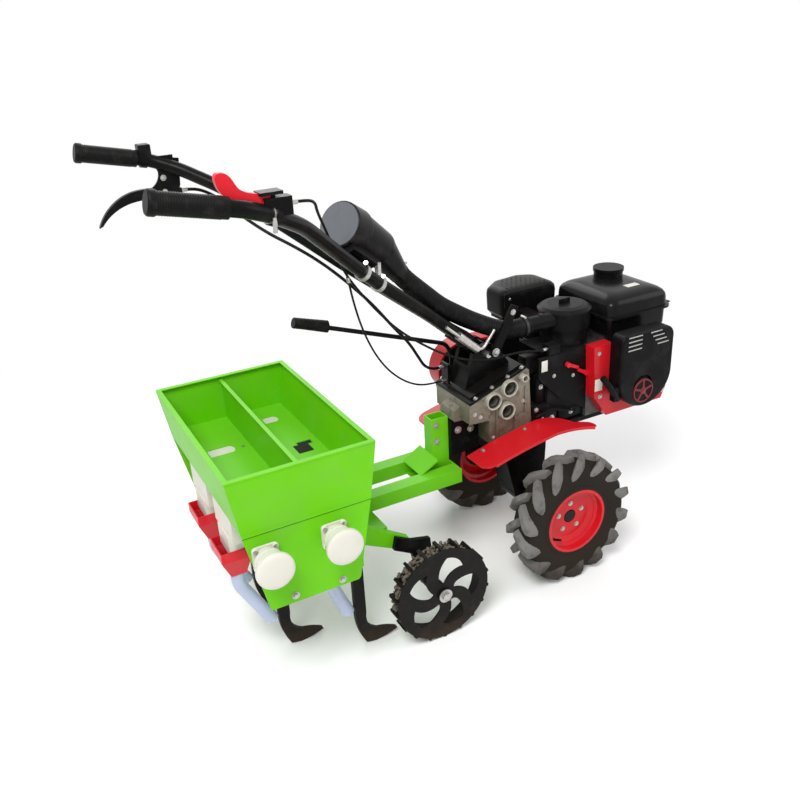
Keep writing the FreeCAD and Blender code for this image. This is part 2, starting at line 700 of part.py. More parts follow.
def toolbars():
    """Square tubes between the side plates, which carry the openers."""
    inside = HOP_Y - PLATE_T
    bars = [square_tube("bar_rear", "y", (REAR_BAR_X, BAR_Z), -inside, inside),
            square_tube("bar_front", "y", (FRONT_BAR_X, BAR_Z), -inside, inside)]
    pair = doc.addObject("Part::Compound", "bar_pair")
    pair.Links = bars
    node(pair, "toolbars")


def drawbar():
    """Two square tubes from the front toolbar to the hitch, with a sloping gusset."""
    rear = FRONT_BAR_X + BAR / 2
    plate = 4
    low = BAR_Z - BAR / 2
    top = BAR_Z + BAR / 2
    tubes = [square_tube(f"draw_{side}", "x", (DRAW_Y * side, BAR_Z), rear, DRAW_FRONT - plate)
             for side in (-1, 1)]
    outer = DRAW_Y + BAR / 2
    inner = DRAW_Y - BAR / 2
    end = box("draw_end", (DRAW_FRONT - plate, DRAW_FRONT), (-outer, outer), (low, top))
    hitch_rear = DRAW_FRONT - HITCH_X
    foot = box("draw_foot", (hitch_rear - 50, DRAW_FRONT - plate), (-inner, inner),
               (low, low + plate))
    gusset = side_pad("draw_gusset", [
        (hitch_rear - 56, top), (hitch_rear - 48, top),
        (hitch_rear, top + 27), (hitch_rear, top + 32)], -(inner + 10), inner + 10)
    node(fuse("draw_frame", tubes + [end, foot, gusset]), "drawbar")


def hitch():
    """Upright channel of the planter and the tiller's hitch bracket in front of it."""
    rear = DRAW_FRONT - HITCH_X
    foot = BAR_Z - BAR / 2 + 4
    front = DRAW_FRONT - 4
    shell = box("channel_outside", (rear, front), (-HITCH_Y, HITCH_Y), (foot, HITCH_TOP))
    bore = box("channel_inside", (rear + HITCH_WALL, front - HITCH_WALL),
               (HITCH_WALL - HITCH_Y, HITCH_Y - HITCH_WALL), (foot + HITCH_WALL, HITCH_TOP))
    node(cut("channel", shell, bore), "hitch_channel")
    block = box("bracket_block", (front, -170), (-35, 35), (365, 468))
    node(fuse("bracket", [block, rod("bracket_pin", "y", 6, 96, -212, -48, 405)]),
         "hitch_bracket")


# ---------------------------------------------------------------- metering and seed way
def mirrored_pair(name, make):
    """Two like solids, right and left, in one sub-part."""
    pair = doc.addObject("Part::Compound", name + "_pair")
    pair.Links = [make("right", -1), make("left", 1)]
    node(pair, name)


def metering():
    """Metering housings, their shafts and the two setting knobs."""
    inside = HOP_Y - PLATE_T
    shafts = doc.addObject("Part::Compound", "shaft_pair")
    shaft_r = 8
    reach = HOP_Y * 2
    shafts.Links = [rod("shaft_seed", "y", shaft_r, reach, SEED_METER_X, -HOP_Y, METER_Z),
                    rod("shaft_fert", "y", shaft_r, reach, FERT_METER_X, -HOP_Y, METER_Z)]
    node(shafts, "metering_shafts")
    ceiling = HOP_FLOOR - SHEET_T

    def seed_meter(side, sign):
        middle = SEED_Y * sign
        case = box(f"seed_case_{side}", (SEED_METER_X - 36, SEED_METER_X + 76),
                   (middle - 70, middle + 70), (METER_Z - 30, HOP_FOLD))
        neck = box(f"seed_neck_{side}", (SEED_METER_X - 14, SEED_METER_X + 70),
                   (middle - 30, middle + 30), (HOP_FOLD, ceiling))
        chute = box(f"seed_chute_{side}", (SEED_METER_X - 40, SEED_METER_X - 4),
                    (middle - 40.7, middle + 40.7), (METER_Z - 80, METER_Z - 24))
        hole = rod(f"seed_hole_{side}", "y", shaft_r, 160, SEED_METER_X, middle - 80, METER_Z)
        return cut(f"seed_meter_{side}", fuse(f"seed_solid_{side}", [case, neck, chute]), hole)

    def fert_meter(side, sign):
        middle = FERT_Y * sign
        case = box(f"fert_case_{side}", (FERT_METER_X - 36, FERT_METER_X + 60),
                   (middle - 50, middle + 50), (METER_Z - 30, ceiling))
        spout = rod(f"fert_spout_{side}", "z", TUBE_R + 4, 40, FERT_METER_X, middle, METER_Z - 66)
        hole = rod(f"fert_hole_{side}", "y", shaft_r, 120, FERT_METER_X, middle - 60, METER_Z)
        return cut(f"fert_meter_{side}", fuse(f"fert_solid_{side}", [case, spout]), hole)

    mirrored_pair("seed_meters", seed_meter)
    mirrored_pair("fertiliser_meters", fert_meter)
    knobs = doc.addObject("Part::Compound", "knob_pair")
    knobs.Links = [knob("seed", SEED_METER_X), knob("fert", FERT_METER_X)]
    node(knobs, "metering_knobs")


def knob(name, x):
    """Bearing flange, stepped barrel and round face of one setting knob."""
    flange = box(f"flange_{name}", (x - 29, x + 29), (-HOP_Y - 5, -HOP_Y),
                 (METER_Z - 29, METER_Z + 29))
    head = turned(f"head_{name}", [
        (-5, 0), (-5, 24), (-26, 24), (-28, 20), (-33, 20), (-34, 33), (-42, 35),
        (-45, KNOB_R - 3), (-50, KNOB_R), (-66, KNOB_R), (-70, KNOB_R - 4), (-72, 0)])
    place(head, x, -HOP_Y, METER_Z)
    return fuse(f"knob_{name}", [flange, head])


def funnels_and_tubes():
    """Seed funnels, and the tubes that lead into the openers."""
    mouth = METER_Z - 64

    def funnel(side, sign):
        y = number(SEED_Y) * sign
        x = number(SEED_METER_X) - 24
        top, low = number(mouth), number(mouth) - 84

        def section(half_x, half_y, cx, z):
            return Part.makePolygon([V(cx - half_x, y - half_y, z), V(cx + half_x, y - half_y, z),
                                     V(cx + half_x, y + half_y, z), V(cx - half_x, y + half_y, z),
                                     V(cx - half_x, y - half_y, z)])

        outer = Part.makeLoft([section(36, 44, x - 4, top), section(36, 44, x - 4, top - 26),
                               section(19, 19, x + 2, low)], True, True)
        inner = Part.makeLoft([section(33, 41, x - 4, top + 1), section(33, 41, x - 4, top - 26),
                               section(16, 16, x + 2, low - 1)], True, True)
        return feature(f"funnel_{side}", outer.cut(inner))

    mirrored_pair("seed_funnels", funnel)
    tube = TUBE_R

    def seed_tube(side, sign):
        route = [(SEED_METER_X - 22, SEED_Y * sign, mouth - 84),
                 (SEED_METER_X - 22, SEED_Y * sign, mouth - 124),
                 (REAR_BAR_X + 4, SEED_Y * sign, 100)]
        return feature(f"seed_tube_{side}", tube_shape(route, tube, TUBE_WALL))

    def fert_tube(side, sign):
        route = [(FERT_METER_X, FERT_Y * sign, METER_Z - 66),
                 (FERT_METER_X, FERT_Y * sign, 250),
                 (FRONT_BAR_X + 3, FERT_Y * sign, 118)]
        return feature(f"fert_tube_{side}", tube_shape(route, tube, TUBE_WALL))

    mirrored_pair("seed_tubes", seed_tube)
    mirrored_pair("fertiliser_tubes", fert_tube)


def opener(name, foot_x, bar_x, middle):
    """A straight shank that curves into a foot with a forward tip."""
    front = bar_x + BAR / 2 + SHANK
    rear = bar_x + BAR / 2
    corners = [(rear, BAR_Z + 34), (rear, 96), (foot_x - 20, 6), (foot_x + 6, 0),
               (foot_x + 70, 14), (foot_x + 18, 34), (front, 100), (front, BAR_Z + 34)]
    crowns = [None, (rear + 8, 46), None, (foot_x + 40, 5), (foot_x + 43, 27), (front + 4, 62),
              None, None]
    half = SHANK_T / 2
    return side_pad(name, corners, middle - half, middle + half, crowns=crowns)


def openers():
    """Shanks with forward curved feet, bolted to the front faces of the toolbars."""
    def seed_opener(side, sign):
        return opener(f"seed_opener_{side}", SEED_FOOT_X, REAR_BAR_X, SEED_Y * sign)

    def fert_opener(side, sign):
        return opener(f"fert_opener_{side}", FERT_FOOT_X, FRONT_BAR_X, FERT_Y * sign)

    mirrored_pair("seed_openers", seed_opener)
    mirrored_pair("fertiliser_openers", fert_opener)


# ---------------------------------------------------------------- tiller
def case_top(x):
    """Height of the gearbox's sloping joint at a station."""
    share = (as_size(x) - CASE_REAR_X) / (CASE_FRONT_X - CASE_REAR_X)
    return CASE_REAR_Z + (CASE_FRONT_Z - CASE_REAR_Z) * share


def lid_top(x):
    """Height of the gearbox lid at a station."""
    return case_top(x) + LID_T


def gearbox():
    """Cast gearbox with three open bosses, its sloping lid and the axle housing under it."""
    base = FRAME_Z + FRAME_T
    case = side_pad("gear_case", [
        (CASE_REAR_X, CASE_REAR_Z), (CASE_FRONT_X, CASE_FRONT_Z), (-42, CASE_FRONT_Z - 6),
        (-30, base), (-170, base), (-170, 470), (CASE_REAR_X, 474)], -BOX_Y, BOX_Y - 10)
    bosses = [(-162, 528), (-110, 553), (-118, 488)]
    boss_r = 19
    outside = [rod(f"boss_{i}", "y", boss_r, 20, x, -BOX_Y - 8, z)
               for i, (x, z) in enumerate(bosses)]
    bores = [rod(f"boss_bore_{i}", "y", boss_r - 6.5, 30, x, -BOX_Y - 8, z)
             for i, (x, z) in enumerate(bosses)]
    tube = rod("vent_tube", "y", 9, 26, -58, -BOX_Y - 14, 567)
    tube_bore = rod("vent_bore", "y", 6, 20, -58, -BOX_Y - 14, 567)
    lump = side_pad("rear_casting", [
        (-258, 476), (-252, 500), (-230, 512), (-196, 496), (-168, 476), (-170, 469),
        (-250, 469)], -44, 24)
    joint = side_pad("case_flange", [
        (CASE_REAR_X, CASE_REAR_Z), (CASE_REAR_X, CASE_REAR_Z - 7),
        (CASE_FRONT_X, CASE_FRONT_Z - 7), (CASE_FRONT_X, CASE_FRONT_Z)],
        -BOX_Y - 4, BOX_Y - 6)
    ribs = [box(f"case_rib_{i}", (x, x + 5), (-BOX_Y - 4, -BOX_Y + 1), (base + 12, top))
            for i, (x, top) in enumerate(((-150, 500), (-90, 470), (-56, 540)))]
    shaft_pad = rod("case_pad", "y", 26, 5, -66, -BOX_Y - 4, 440)
    solid = fuse("gear_solid", [case, tube, lump, joint, shaft_pad] + outside + ribs)
    node(cut("gear_bored", solid, fuse("gear_bores", bores + [tube_bore])), "gearbox")
    plate = side_pad("lid_plate", [
        (CASE_REAR_X, CASE_REAR_Z), (CASE_FRONT_X, CASE_FRONT_Z),
        (CASE_FRONT_X, lid_top(CASE_FRONT_X) - 7), (CASE_REAR_X, lid_top(CASE_REAR_X) - 7)],
        -BOX_Y - 4, BOX_Y - 6)
    tray = side_pad("lid_tray", [
        (CASE_REAR_X + 8, case_top(CASE_REAR_X + 8)), (CASE_FRONT_X - 8, case_top(CASE_FRONT_X - 8)),
        (CASE_FRONT_X - 8, lid_top(CASE_FRONT_X - 8)), (CASE_REAR_X + 8, lid_top(CASE_REAR_X + 8))],
        -BOX_Y + 8, BOX_Y - 18)
    socket = rod("gear_socket", "z", 12, 30, SOCKET[0], SOCKET[1], lid_top(SOCKET[0]) - 6)
    stop = box("cable_stop", (STOP_X, STOP_X + 6), (30, 64), (case_top(STOP_X + 6), 604))
    node(fuse("lid_solid", [plate, tray, socket, stop]), "gearbox_lid")
    leg = side_pad("leg", [(-110, base), (62, base), (HOUSING_R, TYRE_R),
                           (-HOUSING_R, TYRE_R)], -HOUSING_Y, HOUSING_Y)
    foot = rod("leg_foot", "y", HOUSING_R, HOUSING_Y * 2, 0, -HOUSING_Y, TYRE_R)
    sleeve = rod("leg_sleeve", "y", AXLE_R + 12, HOUSING_Y * 2 + 30, 0, -(HOUSING_Y + 15), TYRE_R)
    bore = rod("leg_bore", "y", AXLE_R + CLEAR, 200, 0, -100, TYRE_R)
    node(cut("leg_bored", fuse("leg_solid", [leg, foot, sleeve]), bore), "axle_housing")


def engine():
    """Engine on its rails, with its finned cylinder, blower housing and recoil starter."""
    base = FRAME_Z + FRAME_T
    rails = [box(f"rail_{i}", (-60, 420), (y, y + 50), (FRAME_Z, base))
             for i, y in ((0, -98), (1, 48))]
    cross = [box("rail_front", (370, 420), (-98, 98), (FRAME_Z, base)),
             box("rail_middle", (70, 120), (-98, 98), (FRAME_Z, base))]
    node(fuse("rails", rails + cross), "engine_frame")
    case = side_pad("crankcase", [
        (150, base), (ENGINE_FRONT, base), (ENGINE_FRONT, 530), (370, 592), (150, 592)],
        -100, 104)
    output = rod("output_shaft", "y", 11, 27, CRANK_X, 104, CRANK_Z)
    core = box("cylinder_core", (66, 150), (56, 94), (484, 582))
    fins = [box(f"fin_{i}", (66 + i * FIN_PITCH, 66 + FIN_T + i * FIN_PITCH), (46, 104), (472, 592))
            for i in range(FINS)]
    seats = [box(f"tank_seat_{i}", (x, x + 30), (-60, 100), (592, TANK_FOOT))
             for i, x in ((0, 240), (1, 330))]
    node(fuse("engine_solid", [case, core, output] + fins + seats), "engine_block")
    shroud = side_pad("shroud", [
        (142, 620), (150, 470), (196, 404), (402, 404), (418, 440), (418, 584), (396, 604),
        (222, 604), (206, 622)],
        BLOWER_Y, -100)
    node(shroud, "blower_housing")
    recoil_starter()


def recoil_starter():
    """Deep moulded cover with two groups of air slots and a round recess for the rope pulley."""
    low = CRANK_Z + 4
    left, right = CRANK_X - 93, CRANK_X + 97
    middle = CRANK_X.value + 2
    cover = side_pad("recoil", [
        (left, low), (left, 628), (left + 23, 651), (right - 31, 651), (right, 618), (right, low)],
        RECOIL_Y, BLOWER_Y,
        crowns=[None, (206, 644), None, (380, 642), None, (middle, 426)])
    round_edges(cover, 7, at_level("y", RECOIL_Y))
    slots = []
    for row in range(SLOT_ROWS):
        z = 641 - row * 12.5
        lean = row * 9
        slots.append(box(f"slot_a_{row}", (222, 273), (RECOIL_Y - 1, RECOIL_Y + 4), (z, z + 5)))
        slots.append(box(f"slot_b_{row}", (300 + lean, 344 + lean),
                         (RECOIL_Y - 1, RECOIL_Y + 4), (z, z + 5)))
    recess = rod("pulley_recess", "y", 34, 11, CRANK_X - 8, RECOIL_Y - 1, CRANK_Z - 22)
    pulley = rod("pulley", "y", 27, 9, CRANK_X - 8, RECOIL_Y + 1, CRANK_Z - 22)
    opened = cut("recoil_open", cover, fuse("recoil_openings", slots + [recess]))
    handle = box("rope_handle", (186, left + 4), (-176, -158), (462, 502))
    node(fuse("recoil_solid", [opened, pulley, handle]), "recoil_starter")


def fuel_tank():
    """Pressed tank with rounded shoulders, a seam flange and its cap."""
    lower = plan_pad("tank_low", rounded_plan(228, 438, -90, 150, 24), TANK_FOOT, TANK_Z,
                     crowns=rounded_crowns(228, 438, -90, 150, 24))
    upper = plan_pad("tank_high", rounded_plan(226, 446, -96, 152, 28), TANK_Z, TANK_TOP,
                     crowns=rounded_crowns(226, 446, -96, 152, 28))
    round_edges(upper, 18, at_level("z", TANK_TOP))
    seam = plan_pad("tank_seam", rounded_plan(218, 454, -104, 160, 30), TANK_Z - 2, TANK_Z + 2,
                    crowns=rounded_crowns(218, 454, -104, 160, 30))
    ear = box("tank_ear", (440, TANK_EAR), (-76, -52), (TANK_Z - 2, TANK_Z + 2))
    neck = rod("tank_neck", "z", 28, 2, 372, 84, TANK_TOP)
    node(fuse("tank_solid", [lower, upper, seam, ear, neck]), "fuel_tank")
    skirt = rod("cap_skirt", "z", 40, 18)
    crown = rod("cap_crown", "z", 45, 10, 0, 0, 16)
    grips = [box(f"cap_grip_{i}", (-3, 3), (38, 44), (2, 16)) for i in range(CAP_GRIPS)]
    for i, grip in enumerate(grips):
        turn = FreeCAD.Rotation(V(0, 0, 1), 360 / CAP_GRIPS * i)
        grip.Placement = FreeCAD.Placement(turn.multVec(grip.Placement.Base), turn)
    cap = fuse("cap", [skirt, crown] + grips)
    node(cap, "fuel_cap", 372, 84, TANK_TOP + 2)


def rounded_plan(x_low, x_high, y_low, y_high, radius):
    """Corners of a rectangle with rounded corners, in plan."""
    return [(x_low + radius, y_low), (x_high - radius, y_low), (x_high, y_low + radius),
            (x_high, y_high - radius), (x_high - radius, y_high), (x_low + radius, y_high),
            (x_low, y_high - radius), (x_low, y_low + radius)]


def rounded_crowns(x_low, x_high, y_low, y_high, radius):
    """The crowns that go with rounded_plan()."""
    inset = radius * (1 - math.sqrt(0.5))
    return [None, (x_high - inset, y_low + inset), None, (x_high - inset, y_high - inset),
            None, (x_low + inset, y_high - inset), None, (x_low + inset, y_low + inset)]


def air_cleaner():
    """Air cleaner canister with its side inlet, over the carburettor housing."""
    foot = CANISTER_TOP - 108
    can = turned("canister", [
        (0, 0), (0, CANISTER_R - 6), (44, CANISTER_R - 6), (46, CANISTER_R), (90, CANISTER_R),
        (91, CANISTER_R + 3), (97, CANISTER_R + 3), (100, CANISTER_R - 1),
        (105, CANISTER_R - 8), (108, CANISTER_R - 24), (108, 0)])
    place(can, CANISTER_X, CANISTER_Y, foot, FreeCAD.Rotation(V(1, 0, 0), 90))
    inlet = rod("canister_inlet", "x", PIPE_R, 90, -6, -35, 688)
    collar = rod("inlet_collar", "x", PIPE_R + 3, 14, 30, -35, 688)
    nut = rod("wing_nut", "z", 8, 10, CANISTER_X, CANISTER_Y, CANISTER_TOP)
    wing = box("wing", (CANISTER_X - 18, CANISTER_X + 18), (CANISTER_Y - 2, CANISTER_Y + 2),
               (CANISTER_TOP, CANISTER_TOP + 13))
    node(fuse("cleaner", [can, inlet, collar, nut, wing]), "air_cleaner")
    case = side_pad("carburettor", [
        (CARB_REAR, 470), (60, 440), (150, 440), (150, foot), (CARB_REAR, foot)], -90, 44)
    cover = side_pad("carburettor_cover", [
        (-15, foot), (-15, 553), (65, 474), (150, 424), (150, foot)], -98, -90)
    bracket = box("cable_bracket", (CARB_REAR, CARB_REAR + 36), (-95, -64),
                  (foot, CANISTER_TOP - 80))
    relief = box("gearbox_relief", (-20, CARB_REAR - 2), (-91, -89.5), (420, foot + 2))
    node(fuse("carburettor_solid", [case, cut("cover_cut", cover, relief), bracket]),
         "carburettor_housing")


def muffler():
    """Muffler with its pressed heat shield, on the left of the air cleaner."""
    shell = plan_pad("muffler_shell", [
        (60, 156), (204, 156), (214, 166), (214, 222), (202, 234), (58, 234), (48, 224),
        (48, 168)], 632, 712)
    lid = plan_pad("shield_lid", [
        (62, 150), (200, 150), (217, 166), (217, 224), (204, 236), (58, 236), (44, 222),
        (44, 168)], 706, 720)
    round_edges(lid, 8, at_level("z", 720))
    shield = side_pad("shield_side", [
        (46, 716), (46, 676), (96, 664), (150, 656), (216, 668), (216, 716)], 150, 153,
        crowns=[None, (70, 680), (122, 652), (184, 654), None, None])
    elbow = box("muffler_elbow", (84, 124), (60, 157), (632, 664))
    port = box("muffler_port", (84, 124), (60, 104), (592, 632))
    node(fuse("muffler_solid", [shell, lid, shield, elbow, port]), "muffler")


def belt_cover():
    """Pressed cover over the belt drive on the left side."""
    rear, front = (-115, 535, 80), (CRANK_X.value, CRANK_Z.value - 5, 88)
    outer = Part.makeCylinder(rear[2], 54, V(rear[0], 131, rear[1]), V(0, 1, 0))
    other = Part.makeCylinder(front[2], 54, V(front[0], 131, front[1]), V(0, 1, 0))
    run = V(front[0] - rear[0], 0, front[1] - rear[1])
    lean = math.asin((front[2] - rear[2]) / run.Length)
    slope = math.atan2(run.z, run.x)
    corners = []
    for x, z, r, turn in ((*rear, 1), (*front, 1), (*front, -1), (*rear, -1)):
        angle = slope + turn * (math.pi / 2 + lean)
        corners.append(V(x + r * math.cos(angle), 131, z + r * math.sin(angle)))
    web = Part.Face(Part.makePolygon(corners + [corners[0]])).extrude(V(0, 54, 0))
    node(feature("belt_cover", outer.fuse([other, web]).removeSplitter()), "belt_cover")


def fenders():
    """Curved sheet fenders that narrow to a tongue at the front, with a rolled outer edge."""
    def fender(side, sign, inner):
        arch = [(-248, 386), (-19, 432), (128, 410), (128, 407), (-19, 429), (-248, 383)]
        crowns = [(-140, 413), (56, 427), None, (56, 424), (-140, 410), None]
        sheet = side_pad(f"fender_arch_{side}", arch, -FENDER_Y, FENDER_Y, crowns=crowns)
        outer = FENDER_Y.value * sign
        plan = [(-246, number(inner) * sign), (-24, number(inner) * sign), (66, 152 * sign),
                (112, 158 * sign), (112, outer), (-214, outer), (-246, outer - 32 * sign)]
        bows = [None, (34, 110 * sign), None, (124, 174 * sign), None,
                (-237, outer - 9 * sign), None]
        cutter = plan_pad(f"fender_plan_{side}", plan, 360, 460, crowns=bows)
        shape = doc.addObject("Part::Common", f"fender_sheet_{side}")
        shape.Base, shape.Tool = sheet, cutter
        lip = side_pad(f"fender_lip_{side}", [(x, z - 8 * (i > 2)) for i, (x, z) in
                                              enumerate([(-214, 394.6), (-19, 432), (112, 413),
                                                         (112, 413), (-19, 432), (-214, 394.6)])],
                       *sorted((outer, outer - 2.5 * sign)),
                       crowns=[(-120, 416.5), (50, 427.5), None, (50, 419.5), (-120, 408.5), None])
        node(fuse(f"fender_solid_{side}", [shape, lip]), f"fender_{side}")

    fender("right", -1, BOX_Y + 4)
    fender("left", 1, BOX_Y - 10)


# ---------------------------------------------------------------- handlebar
def handlebar_mount():
    """Forked mount on the gearbox lid, its pivot pin and the side strut."""
    rear, front = PIVOT_X - 64, PIVOT_X + 76
    ears = side_pad("ears", [
        (rear, lid_top(rear)), (front, lid_top(front)), (PIVOT_X + 40, PIVOT_Z + 8),
        (PIVOT_X + 20, PIVOT_Z + 22), (PIVOT_X - 18, PIVOT_Z + 22), (PIVOT_X - 36, PIVOT_Z + 4)],
        -40, 40)
    slot = box("ear_slot", (rear - 40, front + 40), (-26, 26), (PIVOT_Z - 32, PIVOT_Z + 60))
    bore = rod("ear_bore", "y", PIN_R, 100, PIVOT_X, -50, PIVOT_Z)
    node(cut("ears_bored", cut("ears_cut", ears, slot), bore), "handlebar_mount")
    node(rod("pin", "y", PIN_R, 113), "pivot_pin", PIVOT_X, -61, PIVOT_Z)
    strut = side_pad("strut", strip((-140, 640), (-72, 768), 12), -69, -61)
    spacer = rod("strut_spacer", "y", 8, 21, -129, -61, 655)
    node(fuse("strut_solid", [strut, spacer]), "side_strut")


SLOPE = V(-0.754, 0, 0.657)
BEND = 0.3


def lock_lever():
    """Spring barrel and bent lever that lock the handlebar's height."""
    barrel_y = -54
    top, low = V(-240, barrel_y, 718), V(-182, barrel_y, 667)
    barrel = Part.makeCylinder(11, (low - top).Length, top, low - top)
    tail = Part.makeCylinder(4, 46, top, top - low)
    neck = Part.makeCylinder(8, 18, V(-205, barrel_y, 687), V(0, 1, 0))
    bar = swept([top + (low - top) * 0.6, V(-170, barrel_y, 656), V(-128, barrel_y, 710)], 4)[0]
    node(feature("lock", barrel.fuse([tail, neck, bar])), "lock_lever")


def bar_route(sign):
    """Middle line of one handlebar tube, from its foot to the end inside the grip."""
    start = V(number(PIVOT_X), 0, number(PIVOT_Z)) + SLOPE * 86
    ahead = start + SLOPE * 90
    beside = (number(BAR_R) + 2) * sign
    return [V(start.x, beside, start.z), V(ahead.x, beside, ahead.z),
            V(-475, 72 * sign, 912), V(-595, 148 * sign, 1016), V(-706, 250 * sign, 1110),
            V(-790, 325 * sign, 1158), grip_point(sign, 170), grip_point(sign, 4)]


def grip_point(sign, distance):
    """A point on the straight end of a handlebar tube, measured from the grip's end."""
    return V(number(GRIP_X), number(GRIP_Y) * sign, number(GRIP_Z)) + GRIP_RUN * distance


GRIP_RUN = V(138, 0, -30)
GRIP_RUN.normalize()


def handlebar():
    """Pivoting foot, the two bent tubes and their grips."""
    lean = math.degrees(math.atan2(SLOPE.z, -SLOPE.x))
    turn = FreeCAD.Rotation(V(0, 1, 0), lean)
    lug = Part.makeCylinder(24, 40, V(0, -20, 0), V(0, 1, 0))
    web = Part.makeBox(56, 40, 40, V(-56, -20, -20))
    block = Part.makeBox(34, 72, 40, V(-86, -36, -20))
    foot = lug.fuse([web, block]).cut(
        Part.makeCylinder(number(PIN_R) + number(CLEAR), 60, V(0, -30, 0), V(0, 1, 0)))
    foot.Placement = FreeCAD.Placement(V(number(PIVOT_X), 0, number(PIVOT_Z)), turn)
    node(feature("foot", Part.makeCompound([foot])), "handlebar_foot")
    for side, sign in (("right", -1), ("left", 1)):
        node(feature(f"tube_{side}", tube_shape(bar_route(sign), BAR_R, 2.5, BEND)),
             f"handlebar_{side}")

    def grip(side, sign):
        end = grip_point(sign, 0)
        sleeve = Part.makeCylinder(number(GRIP_R), number(GRIP_L), end, GRIP_RUN)
        bulb = Part.makeCylinder(number(GRIP_R) + 3, 18, end, GRIP_RUN)
        sleeve = sleeve.fuse(bulb.makeFillet(5, bulb.Edges))
        hole = Part.makeCylinder(number(BAR_R) + number(CLEAR), number(GRIP_L),
                                 end + GRIP_RUN * 4, GRIP_RUN)
        return feature(f"grip_{side}", sleeve.cut(hole))

    mirrored_pair("handlebar_grips", grip)


CLUTCH_CABLE = [
    (-788, 345, 1104), (-758, 345, 1104), (-730, 331, 1094), (-703, 300, 1074),
    (-680, 256, 1046), (-656, 216, 1022), (-628, 180, 998), (-592, 147, 974), (-552, 120, 944), (-514, 97, 910),
    (-470, 74, 864), (-420, 57, 806), (-376, 44, 743), (-338, 36, 696), (-310, 38, 648),
    (-286, 46, 608), (-252, 54, 590), (STOP_X, 54, 590)]
THROTTLE_CABLE = [
    (-757, -326, 1177), (-727, -326, 1177), (-698, -300, 1166), (-676, -252, 1136),
    (-644, -198, 1096), (-612, -150, 1050), (-580, -110, 998), (-550, -78, 944),
    (-504, -48, 884),
    (-452, -32, 820), (-400, -26, 762), (-344, -34, 716), (-284, -50, 676), (-224, -66, 650),
    (-162, -82, 640), (-96, -86, 644), (-46, -85, 640), (-10, -84, 630), (CARB_REAR, -84, 630)]
SHIFT_CABLE = [
    (-556, -102, 944), (-549, -95, 916), (-534, -76, 872), (-512, -54, 812), (-484, -30, 752),
    (-450, -8, 692), (-410, 8, 638), (-362, 20, 594), (-310, 34, 564), (-262, 40, 556),
    (STOP_X, 40, 556)]


def cables():
    """Throttle, clutch and shift cables, each whole along its own route."""
    for name, points, radius in (("throttle_cable", THROTTLE_CABLE, THROTTLE_CABLE_R),
                                 ("clutch_cable", CLUTCH_CABLE, CLUTCH_CABLE_R),
                                 ("shift_cable", SHIFT_CABLE, SHIFT_CABLE_R)):
        shape, wire, radii = swept(points, radius)
        print(f"{name}: length {wire.Length:.0f} mm, radii",
              " ".join(f"{r:.0f}" for r in radii))
        node(feature(name, shape), name)


def clamp(centre, direction, length, radius):
    """A band round a tube."""
    direction = direction.normalize()
    start = centre - direction * (length / 2)
    outer = Part.makeCylinder(number(radius) + 4, length, start, direction)
    return outer.cut(Part.makeCylinder(number(radius) + number(CLEAR), length, start, direction))


def largest(shape):
    """The biggest solid of a shape, without the slivers a cut leaves beside it."""
    return max(shape.Solids, key=lambda solid: solid.Volume)


def curved_plate(edges, y, thickness):
    """A flat piece whose outline is made of smooth edges that meet end to end."""
    sides = []
    for points in edges:
        curve = Part.BSplineCurve()
        curve.interpolate([V(x, y, z) for x, z in points])
        sides.append(curve.toShape())
    return Part.Face(Part.Wire(sides)).extrude(V(0, thickness, 0))


